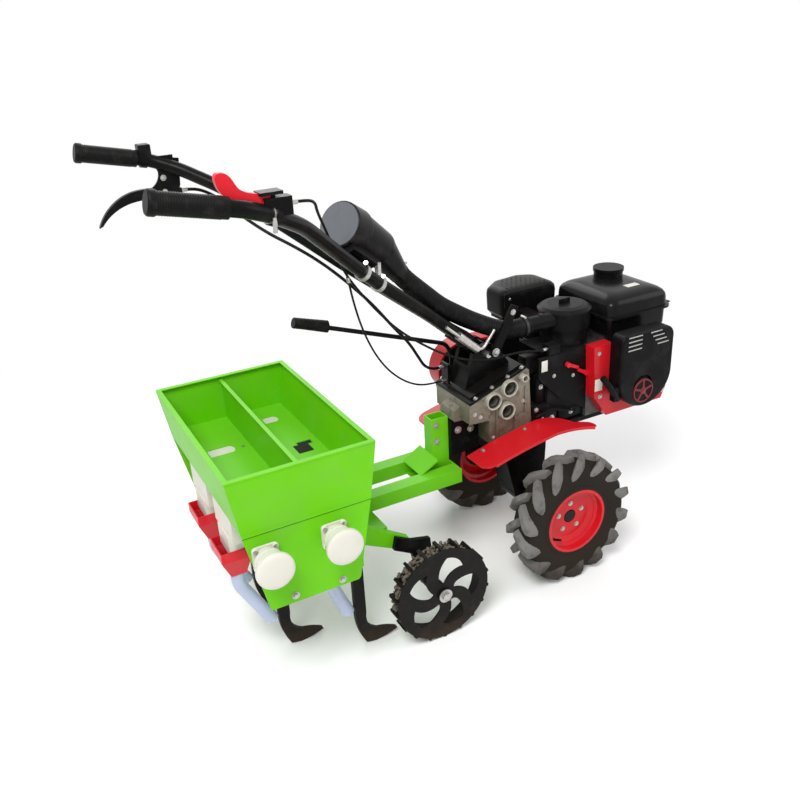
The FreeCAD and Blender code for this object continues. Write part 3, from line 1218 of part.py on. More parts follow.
def controls():
    """Clutch lever, kill switch, throttle lever and gear lever."""
    left_tube = swept(bar_route(1), number(BAR_R) + number(CLEAR), BEND)[0]
    band = clamp(grip_point(1, 158), GRIP_RUN, 16, BAR_R)
    arm = Part.makeBox(60, 6, 26, V(-858, 339, 1166))
    plate = curved_plate([
        [(-856, 1194), (-784, 1182)], [(-784, 1182), (-787, 1150), (-790, 1118)],
        [(-790, 1118), (-800, 1096)], [(-800, 1096), (-841, 1096), (-878, 1092)],
        [(-878, 1092), (-880, 1116)], [(-880, 1116), (-858, 1120), (-843, 1136), (-839, 1156)],
        [(-839, 1156), (-856, 1194)]], 339, 6)
    horn = curved_plate([
        [(-850, 1118), (-876, 1119), (-914, 1115), (-960, 1092), (-999, 1042)],
        [(-999, 1042), (-990, 1046)],
        [(-990, 1046), (-958, 1074), (-918, 1090), (-886, 1094), (-850, 1096)],
        [(-850, 1096), (-850, 1118)]], 335, 14)
    ferrule = Part.makeBox(18, 14, 14, V(-806, 338, 1097))
    clutch = largest(band.fuse([arm, plate, horn, ferrule]).cut(left_tube))
    node(feature("clutch", clutch), "clutch_lever")
    switch = Part.makeBox(30, 36, 40, grip_point(1, 142) + V(4, -18, -8))
    switch = switch.makeFillet(3, switch.Edges).cut(left_tube)
    node(feature("switch", largest(switch.cut(clutch))), "switch_block")
    right_tube = swept(bar_route(-1), number(BAR_R) + number(CLEAR), BEND)[0]
    saddle = Part.makeBox(52, 28, 34, V(-809, -340, 1158))
    cap = Part.makeBox(44, 34, 6, V(-818, -343, 1198))
    post = Part.makeCylinder(8, 12, V(-792, -326, 1188), V(0, 0, 1))
    ring_centre = V(-793, -327, 1159)
    ring = clamp(ring_centre, ring_centre - V(-820, -342, 1172), 14, BAR_R)
    housing = ring.fuse([saddle, cap, post]).cut(right_tube)
    node(feature("throttle_body", housing), "throttle_body")
    handle = curved_plate([
        [(-786, 1194), (-826, 1204), (-852, 1216), (-864, 1236), (-877, 1246)],
        [(-877, 1246), (-890, 1244), (-892, 1230)],
        [(-892, 1230), (-878, 1204), (-845, 1186), (-812, 1178)],
        [(-812, 1178), (-786, 1194)]], -333, 14)
    node(feature("throttle", largest(handle.cut([housing, right_tube]))), "throttle_lever")
    foot = V(number(SOCKET[0]), number(SOCKET[1]), number(lid_top(SOCKET[0])) + 24)
    knee, tip = foot + V(-16, 0, 66), V(-636, 66, 803)
    gear_rod = swept([foot, foot + V(0, 0, 30), knee, tip], 6)[0]
    along_rod = knee - tip
    along_rod.normalize()
    grip = Part.makeCylinder(13, 94, tip, along_rod)
    node(feature("gear_lever", gear_rod.fuse(grip)), "gear_lever")


def intake():
    """Pre-cleaner on the handlebar, its pipe and clamps, and the hose to the air cleaner."""
    face = V(-547, -60, 1056)
    axis = V(0.755, 0.43, -0.49)
    axis.normalize()
    shoulder = face + axis * 58
    bend, outlet = V(-432, -8, 972), V(-362, 0, 880)
    last = V(-259, 0, 786)
    pipe_end = V(-215, 0, 758)
    lead = outlet - bend
    lead.normalize()
    pipe = tube_shape([outlet, outlet + lead * 24, last, pipe_end], PIPE_R, 2.5)
    node(feature("pipe", pipe), "intake_pipe")
    inlet = V(-6, -35, 688)
    hose = [pipe_end, pipe_end + (pipe_end - last) * 0.9, V(-110, -22, 700),
            inlet - V(62, 0, 0), inlet]
    node(feature("hose", swept(hose, PIPE_R)[0]), "intake_hose")
    drum = Part.makeCylinder(54, 62, face, axis)
    drum = drum.makeFillet(4, drum.Edges)
    neck = Part.makeCone(51, 45, (bend - shoulder).Length, shoulder, bend - shoulder)
    joint = Part.makeSphere(45, bend)
    funnel = Part.makeCone(45, number(PIPE_R), (outlet - bend).Length, bend, outlet - bend)
    cleaner = drum.fuse([neck, joint, funnel])
    node(feature("pre_cleaner", cleaner), "pre_cleaner")
    route = bar_route(-1)
    tube = swept(route, number(BAR_R) + number(CLEAR), BEND)[0]
    bands = []
    for i, (start, end, share, hold) in enumerate((
            (route[2], route[3], 0.33, shoulder + (bend - shoulder) * 0.35),
            (route[2], route[1], 0.06, bend))):
        middle = start + (end - start) * share
        lift = hold - middle
        strap = Part.makeBox(8, 18, lift.Length, V(-4, -9, 0))
        strap.Placement = FreeCAD.Placement(middle, FreeCAD.Rotation(V(0, 0, 1), lift))
        piece = clamp(middle, route[3] - route[1], 12, BAR_R).fuse(strap)
        bands.append(feature(f"intake_clamp_{i}", piece.cut([cleaner, pipe, tube])))
    pair = doc.addObject("Part::Compound", "intake_clamp_pair")
    pair.Links = bands
    node(pair, "intake_clamps")


# ---------------------------------------------------------------- build, check, write
drive_wheels()
ground_wheel()
ground_wheel_arm()
hopper()
side_plates()
toolbars()
drawbar()
hitch()
metering()
funnels_and_tubes()
openers()
gearbox()
engine()
fuel_tank()
air_cleaner()
muffler()
belt_cover()
fenders()
handlebar_mount()
handlebar()
lock_lever()
controls()
cables()
intake()

doc.recompute()
for item in doc.Objects:
    faults = [state for state in item.State if state in ("Invalid", "Error")]
    if faults:
        raise RuntimeError(f"{item.Label}: {faults}")
os.makedirs("parts", exist_ok=True)
whole = FreeCAD.BoundBox()
for item in NODES:
    shape = item.Shape
    if shape.isNull() or not shape.isValid() or not shape.Solids:
        raise RuntimeError(f"{item.Label}: shape is not sound")
    shape.exportStep(os.path.join("parts", item.Label + ".step"))
    whole.add(shape.BoundBox)
    print(f"{item.Label}: {len(shape.Solids)} solid(s), {shape.Volume / 1000:.1f} cm3")
print("machine:", whole)
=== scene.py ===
# %% [markdown]
# # A walk-behind seeder
# A small two-wheeled tractor pulls a green two-row seeder. Every metal piece comes from the packed
# CAD model, which stays where it is. Blender adds what CAD leaves out: tyre lugs, bolts, cables,
# the ribbed hose, and the finish of every surface. X points the way it drives and Z points up. The
# scene is in metres, and a place or a width given in millimetres says so.

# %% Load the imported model
import json
import math

import bmesh
import bpy
from mathutils import Euler, Matrix, Vector


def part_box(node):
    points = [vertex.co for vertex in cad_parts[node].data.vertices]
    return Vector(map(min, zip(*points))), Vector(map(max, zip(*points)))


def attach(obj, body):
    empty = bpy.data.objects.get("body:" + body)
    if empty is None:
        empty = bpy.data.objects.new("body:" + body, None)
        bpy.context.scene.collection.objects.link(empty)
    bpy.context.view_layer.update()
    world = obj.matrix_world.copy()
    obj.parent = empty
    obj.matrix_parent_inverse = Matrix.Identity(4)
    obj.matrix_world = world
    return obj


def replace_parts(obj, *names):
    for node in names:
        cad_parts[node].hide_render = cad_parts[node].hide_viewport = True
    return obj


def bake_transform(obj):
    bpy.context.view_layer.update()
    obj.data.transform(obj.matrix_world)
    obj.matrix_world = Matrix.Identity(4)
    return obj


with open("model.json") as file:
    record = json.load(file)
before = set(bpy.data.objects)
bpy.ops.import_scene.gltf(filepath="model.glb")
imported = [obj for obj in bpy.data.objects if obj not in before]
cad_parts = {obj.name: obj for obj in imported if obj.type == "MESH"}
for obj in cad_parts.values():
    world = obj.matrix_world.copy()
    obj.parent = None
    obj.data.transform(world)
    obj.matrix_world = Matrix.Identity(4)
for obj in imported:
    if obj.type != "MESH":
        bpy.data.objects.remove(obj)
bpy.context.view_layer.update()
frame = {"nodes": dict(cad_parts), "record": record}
nodes = frame["nodes"]

# %% [markdown]
# ## Where things are
# `middle` gives the centre of a CAD piece. `at` gives a point in millimetres from the drive axle,
# the middle plane and the ground, the way a workshop measures a tractor. A bolt that sits on metal
# is found by touching the metal instead, so it follows the model when that changes.

# %% Places
RIGHT, LEFT, UP = (0, -1, 0), (0, 1, 0), (0, 0, 1)


def middle(name):
    """The centre of a CAD piece's box."""
    low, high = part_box(name)
    return (low + high) / 2


AXLE = middle("axle_shaft")


def at(x, y, z):
    """A point given in millimetres from the drive axle, the middle plane and the ground."""
    return Vector((AXLE.x + x / 1000, y / 1000, z / 1000))


def points_at(*places):
    """Several points, each given as for `at`."""
    return [at(*place) for place in places]


print("drive axle at", [round(c, 4) for c in AXLE])

# %% [markdown]
# ## Node trees with less typing
# Materials, shader groups and Geometry Nodes trees are built the same way: add a node, set some of
# its inputs, and link the rest.

# %% A small tree builder
class Tree:
    """Adds nodes to a tree. An input is a value, an output, or a node for its first output."""

    def __init__(self, tree):
        self.tree, self.nodes, self.links = tree, tree.nodes, tree.links

    def socket(self, name, kind, default=None, output=False):
        """Declares one named input or output of a group."""
        made = self.tree.interface.new_socket(name, in_out="OUTPUT" if output else "INPUT",
                                              socket_type="NodeSocket" + kind)
        if default is not None:
            made.default_value = default

    def open(self):
        """Adds the two end nodes, once every socket is declared."""
        given = self.nodes.new("NodeGroupInput").outputs
        self.end = self.nodes.new("NodeGroupOutput")
        return given

    def fill(self, node, inputs):
        """Sets a node's inputs, keyed by socket name or number."""
        for key, value in inputs.items():
            value = value.outputs[0] if isinstance(value, bpy.types.Node) else value
            if isinstance(value, bpy.types.NodeSocket):
                self.links.new(value, node.inputs[key])
            else:
                node.inputs[key].default_value = value
        return node

    def add(self, kind, inputs=None, **settings):
        """One new node with its settings and inputs."""
        made = self.nodes.new(kind)
        for key, value in settings.items():
            setattr(made, key, value)
        return self.fill(made, inputs or {})

    def maths(self, operation, *numbers, clamp=False):
        """One sum on numbers."""
        return self.add("ShaderNodeMath", dict(enumerate(numbers)), operation=operation,
                        use_clamp=clamp)

    def ramp(self, value, low, high):
        """0 at low and 1 at high, with an even change between them."""
        return self.add("ShaderNodeMapRange", {"Value": value, "From Min": low, "From Max": high})


# %% [markdown]
# ## One weathering effect for every finish
# A working machine is dusty on top, grimy in patches, and muddy near the ground. One shader group
# mixes a paint colour with a dirt colour by three masks: noise patches, faces that look up, and
# height above the ground. Each material places the same group with its own numbers.

# %% The weathering group
DRY_DUST = (0.30, 0.26, 0.21, 1)
WEATHER = {
    "Color": {"Paint": (0.5, 0.5, 0.5, 1), "Dirt": (0.2, 0.16, 0.12, 1)},
    "Float": {"Patches": 0.2, "Patch Scale": 20.0, "Dust On Top": 0.1, "Mud Low": 0.0,
              "Mud High": 0.001, "Roughness": 0.4, "Dirty Roughness": 0.9, "Shade": 0.1,
              "Grain Scale": 300.0, "Grain": 0.2}}
SPOTS_START, SPOTS_FULL = 0.5, 0.66
DUST_START, DUST_FULL = 0.35, 1.0
RAGGED_EDGE = 0.16
BROAD_SCALE = 5.0
DIRT_RELIEF = 0.35


def weathering_group():
    """Paint mixed with dirt by patches, by dust on top and by mud near the ground."""
    tree = Tree(bpy.data.node_groups.new("weathering", "ShaderNodeTree"))
    for kind, defaults in WEATHER.items():
        for name, default in defaults.items():
            tree.socket(name, kind, default)
    for name, kind in (("Color", "Color"), ("Roughness", "Float"), ("Height", "Float")):
        tree.socket(name, kind, output=True)
    given = tree.open()
    where = tree.add("ShaderNodeTexCoord").outputs["Object"]

    def noise(scale, detail, **more):
        """A noise texture fixed to the object."""
        return tree.add("ShaderNodeTexNoise",
                        {"Vector": where, "Scale": scale, "Detail": detail, **more})

    patch = noise(given["Patch Scale"], 6.0, Roughness=0.62)
    spots = tree.ramp(patch, SPOTS_START, SPOTS_FULL)
    patches = tree.maths("MULTIPLY", spots, given["Patches"])
    normal = tree.add("ShaderNodeNewGeometry").outputs["Normal"]
    facing = tree.add("ShaderNodeSeparateXYZ", {0: normal}).outputs["Z"]
    settled = tree.maths("MULTIPLY", tree.ramp(facing, DUST_START, DUST_FULL),
                         given["Dust On Top"])
    settled = tree.maths("MULTIPLY", settled, tree.maths("ADD", patch, 0.35))
    height = tree.add("ShaderNodeSeparateXYZ", {0: where}).outputs["Z"]
    ragged = tree.maths("MULTIPLY", tree.maths("SUBTRACT", patch, 0.5), RAGGED_EDGE)
    mud = tree.ramp(tree.maths("ADD", height, ragged), given["Mud High"], given["Mud Low"])
    mask = tree.maths("MAXIMUM", patches, settled)
    mask = tree.maths("MAXIMUM", mask, mud, clamp=True)
    broad = tree.maths("SUBTRACT", noise(BROAD_SCALE, 2.0), 0.5)
    tone = tree.maths("MULTIPLY_ADD", tree.maths("MULTIPLY", broad, given["Shade"]), 2.0, 1.0)
    paint = tree.add("ShaderNodeVectorMath", {0: given["Paint"], "Scale": tone},
                     operation="SCALE")
    mixed = tree.add("ShaderNodeMix", {0: mask, 6: paint, 7: given["Dirt"]}, data_type="RGBA")
    rough = tree.add("ShaderNodeMix", {0: mask, 2: given["Roughness"],
                                       3: given["Dirty Roughness"]})
    grain = tree.maths("MULTIPLY", noise(given["Grain Scale"], 3.0), given["Grain"])
    bumps = tree.maths("ADD", grain, tree.maths("MULTIPLY", mask, DIRT_RELIEF))
    tree.fill(tree.end, {"Color": mixed.outputs[2], "Roughness": rough, "Height": bumps})
    return tree.tree


WEATHERING = weathering_group()

# %% [markdown]
# ## Finishes
# A finish is a Principled shader fed by the weathering group. What never changes over a surface,
# such as metallic or coat, is set on the shader itself. Colours are linear values, which look much
# darker as numbers than they do on a screen.

# %% A finish from numbers
BUMP_DEPTH = 0.0015
COAT_ROUGHNESS = 0.12
OIL = (0.035, 0.024, 0.016, 1)
PLASTIC_DUST = (0.09, 0.082, 0.074, 1)


def finish(name, paint, metallic=0.0, coat=0.0, gloss=0.5, bump=0.25, dirt=DRY_DUST, **weather):
    """A material whose colour, roughness and bump come from the weathering group."""
    made = bpy.data.materials.new(name)
    made.use_nodes = True
    tree = Tree(made.node_tree)
    settings = {key.replace("_", " ").title(): value for key, value in weather.items()}
    group = tree.add("ShaderNodeGroup", {"Paint": (*paint, 1), "Dirt": dirt, **settings},
                     node_tree=WEATHERING)
    relief = tree.add("ShaderNodeBump", {"Strength": bump, "Distance": BUMP_DEPTH,
                                         "Height": group.outputs["Height"]})
    tree.fill(tree.nodes["Principled BSDF"], {
        "Base Color": group.outputs["Color"], "Roughness": group.outputs["Roughness"],
        "Normal": relief, "Metallic": metallic, "Specular IOR Level": gloss,
        "Coat Weight": coat, "Coat Roughness": COAT_ROUGHNESS})
    return made


LOOKS = {
    "green_paint": dict(
        paint=(0.136, 0.530, 0.004), gloss=0.16, roughness=0.38, patches=0.06, patch_scale=9.0,
        dust_on_top=0.06, shade=0.14, grain_scale=140.0, grain=0.25),
    "red_paint": dict(
        paint=(0.56, 0.007, 0.014), coat=0.12, gloss=0.25, roughness=0.3, patches=0.14,
        patch_scale=14.0, dust_on_top=0.05, shade=0.08, grain=0.1, dirt=(0.16, 0.035, 0.03, 1)),
    "black_paint": dict(
        paint=(0.004, 0.0038, 0.004), gloss=0.075, roughness=0.28, patches=0.07,
        patch_scale=24.0, dust_on_top=0.05, dirt=(0.085, 0.072, 0.058, 1)),
    "worn_steel": dict(
        paint=(0.006, 0.0055, 0.005), gloss=0.12, roughness=0.45, patches=0.2, patch_scale=40.0,
        dust_on_top=0.1, dirt=(0.040, 0.028, 0.020, 1), mud_low=0.0, mud_high=0.07,
        dirty_roughness=0.95, bump=0.6, grain=0.5),
    "tyre": dict(
        paint=(0.165, 0.158, 0.150), gloss=0.3, roughness=0.86, patches=0.55, patch_scale=30.0,
        dust_on_top=0.0, dirt=(0.030, 0.023, 0.017, 1), mud_low=0.02, mud_high=0.17, shade=0.3,
        grain=0.5, bump=0.5),
    "tyre_wall": dict(
        paint=(0.020, 0.017, 0.014), gloss=0.1, roughness=0.88, patches=0.7, patch_scale=34.0,
        dust_on_top=0.0, dirt=(0.024, 0.018, 0.013, 1), mud_low=0.04, mud_high=0.24, shade=0.3,
        grain=0.5, bump=0.5),
    "smoky_face": dict(
        paint=(0.105, 0.112, 0.122), gloss=0.4, roughness=0.25, patches=0.35, patch_scale=26.0,
        dirt=(0.055, 0.058, 0.062, 1), grain=0.1),
    "hub_red": dict(
        paint=(0.16, 0.008, 0.016), gloss=0.3, roughness=0.3, patches=0.1, patch_scale=40.0),
    "cast_rim": dict(
        paint=(0.46, 0.44, 0.37), metallic=0.5, roughness=0.45, patches=0.5, patch_scale=60.0,
        dirt=(0.12, 0.09, 0.06, 1)),
    # A dark green for the painted shadow under the hopper's hems
    "seam_shade": dict(paint=(0.020, 0.085, 0.002), gloss=0.1, roughness=0.8),
    "dry_soil": dict(
        paint=(0.140, 0.115, 0.092), roughness=0.96, patches=0.6, patch_scale=70.0,
        dust_on_top=0.0, dirt=(0.075, 0.052, 0.034, 1), bump=0.7, grain=0.8),
    # Painted shade: a flat black put in hollows and openings so that they read dark
    "deep_black": dict(
        paint=(0.005, 0.005, 0.005), roughness=0.9, patches=0.2, dirt=(0.02, 0.016, 0.012, 1)),
    "raw_aluminium": dict(
        paint=(0.245, 0.228, 0.180), metallic=0.5, roughness=0.5, patches=0.8, patch_scale=34.0,
        dust_on_top=0.0, mud_low=0.40, mud_high=0.53, dirt=(0.085, 0.060, 0.036, 1),
        dirty_roughness=0.7, grain_scale=420.0, grain=0.6, bump=0.5),
    "bare_steel": dict(
        paint=(0.50, 0.49, 0.47), metallic=0.9, roughness=0.32, patches=0.2, patch_scale=60.0,
        dirt=OIL, grain=0.15),
    "black_plastic": dict(
        paint=(0.004, 0.004, 0.0045), gloss=0.075, roughness=0.33, patches=0.10,
        patch_scale=18.0, dust_on_top=0.07, dirt=PLASTIC_DUST, grain_scale=900.0, grain=0.3),
    "tank_plastic": dict(
        paint=(0.004, 0.004, 0.0045), coat=0.06, gloss=0.10, roughness=0.22, patches=0.06,
        patch_scale=12.0, dust_on_top=0.05, dirt=PLASTIC_DUST, grain=0.08),
    "grey_plastic": dict(
        paint=(0.006, 0.006, 0.007), gloss=0.12, roughness=0.3, patches=0.1, dust_on_top=0.06,
        dirt=(0.16, 0.15, 0.14, 1), grain=0.1),
    "white_plastic": dict(
        paint=(0.66, 0.64, 0.57), gloss=0.3, roughness=0.42, patches=0.10, patch_scale=30.0,
        dust_on_top=0.05, dirt=(0.50, 0.42, 0.32, 1), shade=0.05, grain=0.1),
    "red_plastic": dict(
        paint=(0.64, 0.008, 0.018), gloss=0.3, roughness=0.36, patches=0.08, dust_on_top=0.03,
        shade=0.08, grain=0.1),
    "clear_tube": dict(
        paint=(0.42, 0.48, 0.64), roughness=0.3, patches=0.2, patch_scale=50.0, dust_on_top=0.1,
        dirt=(0.52, 0.50, 0.46, 1)),
    "rubber": dict(
        paint=(0.0045, 0.0045, 0.0045), gloss=0.10, roughness=0.45, patches=0.12,
        patch_scale=40.0, dust_on_top=0.06, dirt=(0.08, 0.072, 0.064, 1), grain=0.4),
    "dark_steel": dict(
        paint=(0.030, 0.029, 0.029), metallic=0.6, gloss=0.4, roughness=0.4, patches=0.3,
        patch_scale=40.0, dirt=(0.09, 0.075, 0.06, 1)),
    "engine_block": dict(
        paint=(0.09, 0.088, 0.085), metallic=0.4, roughness=0.5, patches=0.5, patch_scale=36.0,
        dirt=OIL, grain=0.5, bump=0.5),
}
FINISH = {name: finish(name, **look) for name, look in LOOKS.items()}
print(len(FINISH), "finishes")

# %% Give every CAD piece its finish
for part in frame["record"]["subparts"]:
    shown = nodes[part["node"]]
    shown.data.materials.clear()
    shown.data.materials.append(FINISH[part["material_slot"]])

# %% [markdown]
# ## Pieces, and a touch on the metal
# A new piece is a mesh with a record slot and a CAD body to ride on. It takes the slot's finish, or
# another look where it is dirtier or darker than the rest of its slot; the darkest look is painted
# shade in hollows. `touch` sends a straight line at a CAD piece and returns where it lands, so a
# bolt head sits on real metal.

# %% Adding a piece
def piece(name, mesh, slot, body, look=None):
    """A finished mesh as a piece of the machine, riding on one body."""
    mesh.name = name
    mesh.materials.clear()
    mesh.materials.append(FINISH[look or slot])
    made = bpy.data.objects.new(name, mesh)
    bpy.context.scene.collection.objects.link(made)
    if body:
        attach(made, body)
    return made


def touch(name, start, heading):
    """Where a line from start, in a heading, first lands on a CAD piece."""
    found, place, _, _ = nodes[name].ray_cast(start, Vector(heading).normalized())
    if not found:
        raise ValueError(f"nothing of {name} from {start} along {heading}")
    return place


# %% Making and joining meshes
def cleaned(mesh):
    """The same mesh with its doubles merged and its faces turned outwards."""
    work = bmesh.new()
    work.from_mesh(mesh)
    bmesh.ops.remove_doubles(work, verts=work.verts, dist=1e-6)
    bmesh.ops.recalc_face_normals(work, faces=work.faces)
    work.to_mesh(mesh)
    work.free()
    return mesh


def plain_mesh(corners, faces):
    """A mesh from corners and faces, with its faces turned outwards."""
    mesh = bpy.data.meshes.new("plain")
    mesh.from_pydata([tuple(c) for c in corners], [], faces)
    return cleaned(mesh)


def skinned(rings):
    """A closed body over rings of corners, each with as many, and a cap at both ends."""
    corners = [corner for ring in rings for corner in ring]
    count = len(rings[0])
    last = len(corners) - count
    faces = [tuple(range(count)), tuple(range(last, len(corners)))]
    for low in range(0, last, count):
        for i in range(count):
            j = (i + 1) % count
            faces.append((low + i, low + j, low + j + count, low + i + count))
    return plain_mesh(corners, faces)


def smooth(mesh, angle=35):
    """Smooth shading that still breaks at edges sharper than an angle."""
    mesh.polygons.foreach_set("use_smooth", [True] * len(mesh.polygons))
    mesh.set_sharp_from_angle(angle=math.radians(angle))
    return mesh


def joined(meshes):
    """Several meshes as one."""
    work = bmesh.new()
    for mesh in meshes:
        work.from_mesh(mesh)
    whole = bpy.data.meshes.new("joined")
    work.to_mesh(whole)
    work.free()
    return whole


# %% [markdown]
# ## Trees that repeat and follow
# Geometry Nodes do the counting. Four trees serve the whole machine: a fastener on every point, a
# piece repeated round an axle, a tube along a line, and lumps of soil on a surface. Each ends in
# Realize Instances and Set Material, because instances are lost when the model is exported.

# %% Run a tree on a mesh
def grow(tree, mesh, **inputs):
    """The plain mesh that a tree makes of a mesh. Inputs are set by their socket's identifier."""
    holder = bpy.data.objects.new("holder", mesh)
    bpy.context.scene.collection.objects.link(holder)
    modifier = holder.modifiers.new("grow", "NODES")
    modifier.node_group = tree
    for item in tree.interface.items_tree:
        key = item.name.lower().replace(" ", "_")
        if item.item_type == "SOCKET" and item.in_out == "INPUT" and key in inputs:
            modifier[item.identifier] = inputs[key]
    ready = bpy.context.evaluated_depsgraph_get()
    made = bpy.data.meshes.new_from_object(holder.evaluated_get(ready))
    bpy.data.objects.remove(holder)
    return made


def geometry_tree(name, **sizes):
    """A tree with a geometry in and out and named sizes, and the outputs of its input node."""
    tree = Tree(bpy.data.node_groups.new(name, "GeometryNodeTree"))
    tree.socket("Geometry", "Geometry")
    tree.socket("Geometry", "Geometry", output=True)
    for kind, defaults in sizes.items():
        for label, default in defaults.items():
            tree.socket(label, kind, default)
    tree.socket("Finish", "Material")
    tree.tree.is_modifier = True
    return tree, tree.open()


def close(tree, geometry, given):
    """Ends a tree: real geometry, its finish, out."""
    real = tree.add("GeometryNodeRealizeInstances", {0: geometry})
    dressed = tree.add("GeometryNodeSetMaterial", {"Geometry": real, "Material": given["Finish"]})
    tree.fill(tree.end, {"Geometry": dressed})
    return tree.tree


def moved(tree, shape, offset):
    """A shape moved by an offset."""
    return tree.add("GeometryNodeTransform", {"Geometry": shape, "Translation": offset})


def set_on(tree, points, shape, **more):
    """The same shape on every point."""
    return tree.add("GeometryNodeInstanceOnPoints", {"Points": points, "Instance": shape, **more})


# %% A fastener on every point
CROWN_TOP, CROWN_DEPTH = 0.72, 0.16
WASHER_SIDES, WASHER_DEPTH = 20, 0.22
WASHER_TOP = 0.2


def fastener_tree():
    """A head, its chamfered crown and a washer on every point, sized by half the head's width."""
    tree, given = geometry_tree("fasteners", Float={"Head Height": 0.62, "Washer": 1.45},
                                Int={"Sides": 6})
    tall, sides = given["Head Height"], given["Sides"]
    barrel = tree.add("GeometryNodeMeshCylinder", {"Vertices": sides, "Radius": 1.0,
                                                   "Depth": tall})
    crown = tree.add("GeometryNodeMeshCone", {"Vertices": sides, "Radius Top": CROWN_TOP,
                                              "Radius Bottom": 1.0, "Depth": CROWN_DEPTH})
    disc = tree.add("GeometryNodeMeshCylinder", {
        "Vertices": WASHER_SIDES, "Radius": given["Washer"], "Depth": WASHER_DEPTH})
    half_way = tree.maths("MULTIPLY_ADD", tall, 0.5, WASHER_TOP)
    whole = tree.add("GeometryNodeJoinGeometry")
    for shape, height in ((barrel, half_way), (crown, tree.maths("ADD", tall, WASHER_TOP)),
                          (disc, WASHER_TOP / 2)):
        lift = tree.add("ShaderNodeCombineXYZ", {"Z": height})
        tree.fill(whole, {0: moved(tree, shape, lift)})
    aim = tree.add("GeometryNodeInputNamedAttribute", {"Name": "aim"}, data_type="FLOAT_VECTOR")
    size = tree.add("GeometryNodeInputNamedAttribute", {"Name": "size"}, data_type="FLOAT")
    turn = tree.add("FunctionNodeAlignRotationToVector", {"Vector": aim}, axis="Z")
    return close(tree, set_on(tree, given["Geometry"], whole, Rotation=turn, Scale=size), given)


FASTENERS = fastener_tree()


def fasteners(name, body, places, slot="bare_steel", **inputs):
    """Bolt heads with washers. Each place is (point, way it faces, half of its width in mm)."""
    mesh = bpy.data.meshes.new(name)
    mesh.from_pydata([tuple(point) for point, _, _ in places], [], [])
    mesh.attributes.new("aim", "FLOAT_VECTOR", "POINT")
    mesh.attributes.new("size", "FLOAT", "POINT")
    for index, (_, aim, size) in enumerate(places):
        mesh.attributes["aim"].data[index].vector = aim
        mesh.attributes["size"].data[index].value = size / 1000
    print(name, len(places), "fasteners")
    return piece(name, grow(FASTENERS, mesh, finish=FINISH[slot], **inputs), slot, body)


# %% Copies round an axle
def round_axle_tree():
    """A piece repeated at even steps round a Y axis through a centre."""
    tree, given = geometry_tree("round_axle", Float={"Start": 0.0}, Int={"Count": 12},
                                Vector={"Centre": (0.0, 0.0, 0.0)})
    away = tree.add("ShaderNodeVectorMath", {0: given["Centre"], "Scale": -1.0},
                    operation="SCALE")
    home = moved(tree, given["Geometry"], away)
    points = tree.add("GeometryNodePoints", {"Count": given["Count"], "Position": given["Centre"]})
    share = tree.maths("DIVIDE", tree.add("GeometryNodeInputIndex"), given["Count"])
    angle = tree.maths("MULTIPLY_ADD", share, math.tau, given["Start"])
    turn = tree.add("FunctionNodeAxisAngleToRotation", {"Axis": (0.0, 1.0, 0.0), "Angle": angle})
    return close(tree, set_on(tree, points, home, Rotation=turn), given)


ROUND_AXLE = round_axle_tree()


# %% A tube along a line
def tube_tree():
    """A tube along a line, whose radius swells in even ribs when they have a height."""
    tree, given = geometry_tree("tube", Float={"Radius": 0.003, "Step": 0.004, "Rib Height": 0.0,
                                               "Rib Pitch": 0.01}, Int={"Sides": 14})
    line = tree.add("GeometryNodeMeshToCurve", {0: given["Geometry"]})
    even = tree.add("GeometryNodeResampleCurve", {"Curve": line, "Length": given["Step"]},
                    mode="LENGTH")
    run = tree.add("GeometryNodeSplineParameter").outputs["Length"]
    ribs = tree.maths("DIVIDE", run, given["Rib Pitch"])
    sine = tree.maths("SINE", tree.maths("MULTIPLY", ribs, math.tau))
    wave = tree.maths("MULTIPLY_ADD", sine, 0.5, 0.5)
    radius = tree.maths("MULTIPLY_ADD", wave, given["Rib Height"], given["Radius"])
    ring = tree.add("GeometryNodeCurvePrimitiveCircle", {"Resolution": given["Sides"],
                                                         "Radius": 1.0})
    skin = tree.add("GeometryNodeCurveToMesh", {"Curve": even, "Profile Curve": ring,
                                                "Scale": radius, "Fill Caps": True})
    return close(tree, skin, given)


TUBE = tube_tree()


def tube(name, points, radius, slot, body, look=None, **inputs):
    """A closed tube along points as a piece. Its radius is in mm, its steps and ribs in metres."""
    line = bpy.data.meshes.new("line")
    line.from_pydata([tuple(p) for p in points], [(i, i + 1) for i in range(len(points) - 1)], [])
    mesh = grow(TUBE, line, finish=FINISH[look or slot], radius=radius / 1000, **inputs)
    return piece(name, smooth(cleaned(mesh), angle=60), slot, body, look)


def spline_points(route):
    """Points read from a smooth spline that is steered by a route's points."""
    data = bpy.data.curves.new("route", "CURVE")
    data.dimensions = "3D"
    data.resolution_u = 10
    spline = data.splines.new("NURBS")
    spline.points.add(len(route) - 1)
    for point, place in zip(spline.points, route):
        point.co = (*place, 1.0)
    spline.order_u = 3
    spline.use_endpoint_u = True
    holder = bpy.data.objects.new("route", data)
    bpy.context.scene.collection.objects.link(holder)
    ready = bpy.context.evaluated_depsgraph_get()
    mesh = bpy.data.meshes.new_from_object(holder.evaluated_get(ready))
    bpy.data.objects.remove(holder)
    return [v.co.copy() for v in mesh.vertices]


# %% Lumps on a surface
SMALLEST_LUMP = 0.35
SPIN = (6.0, 6.0, 6.0)


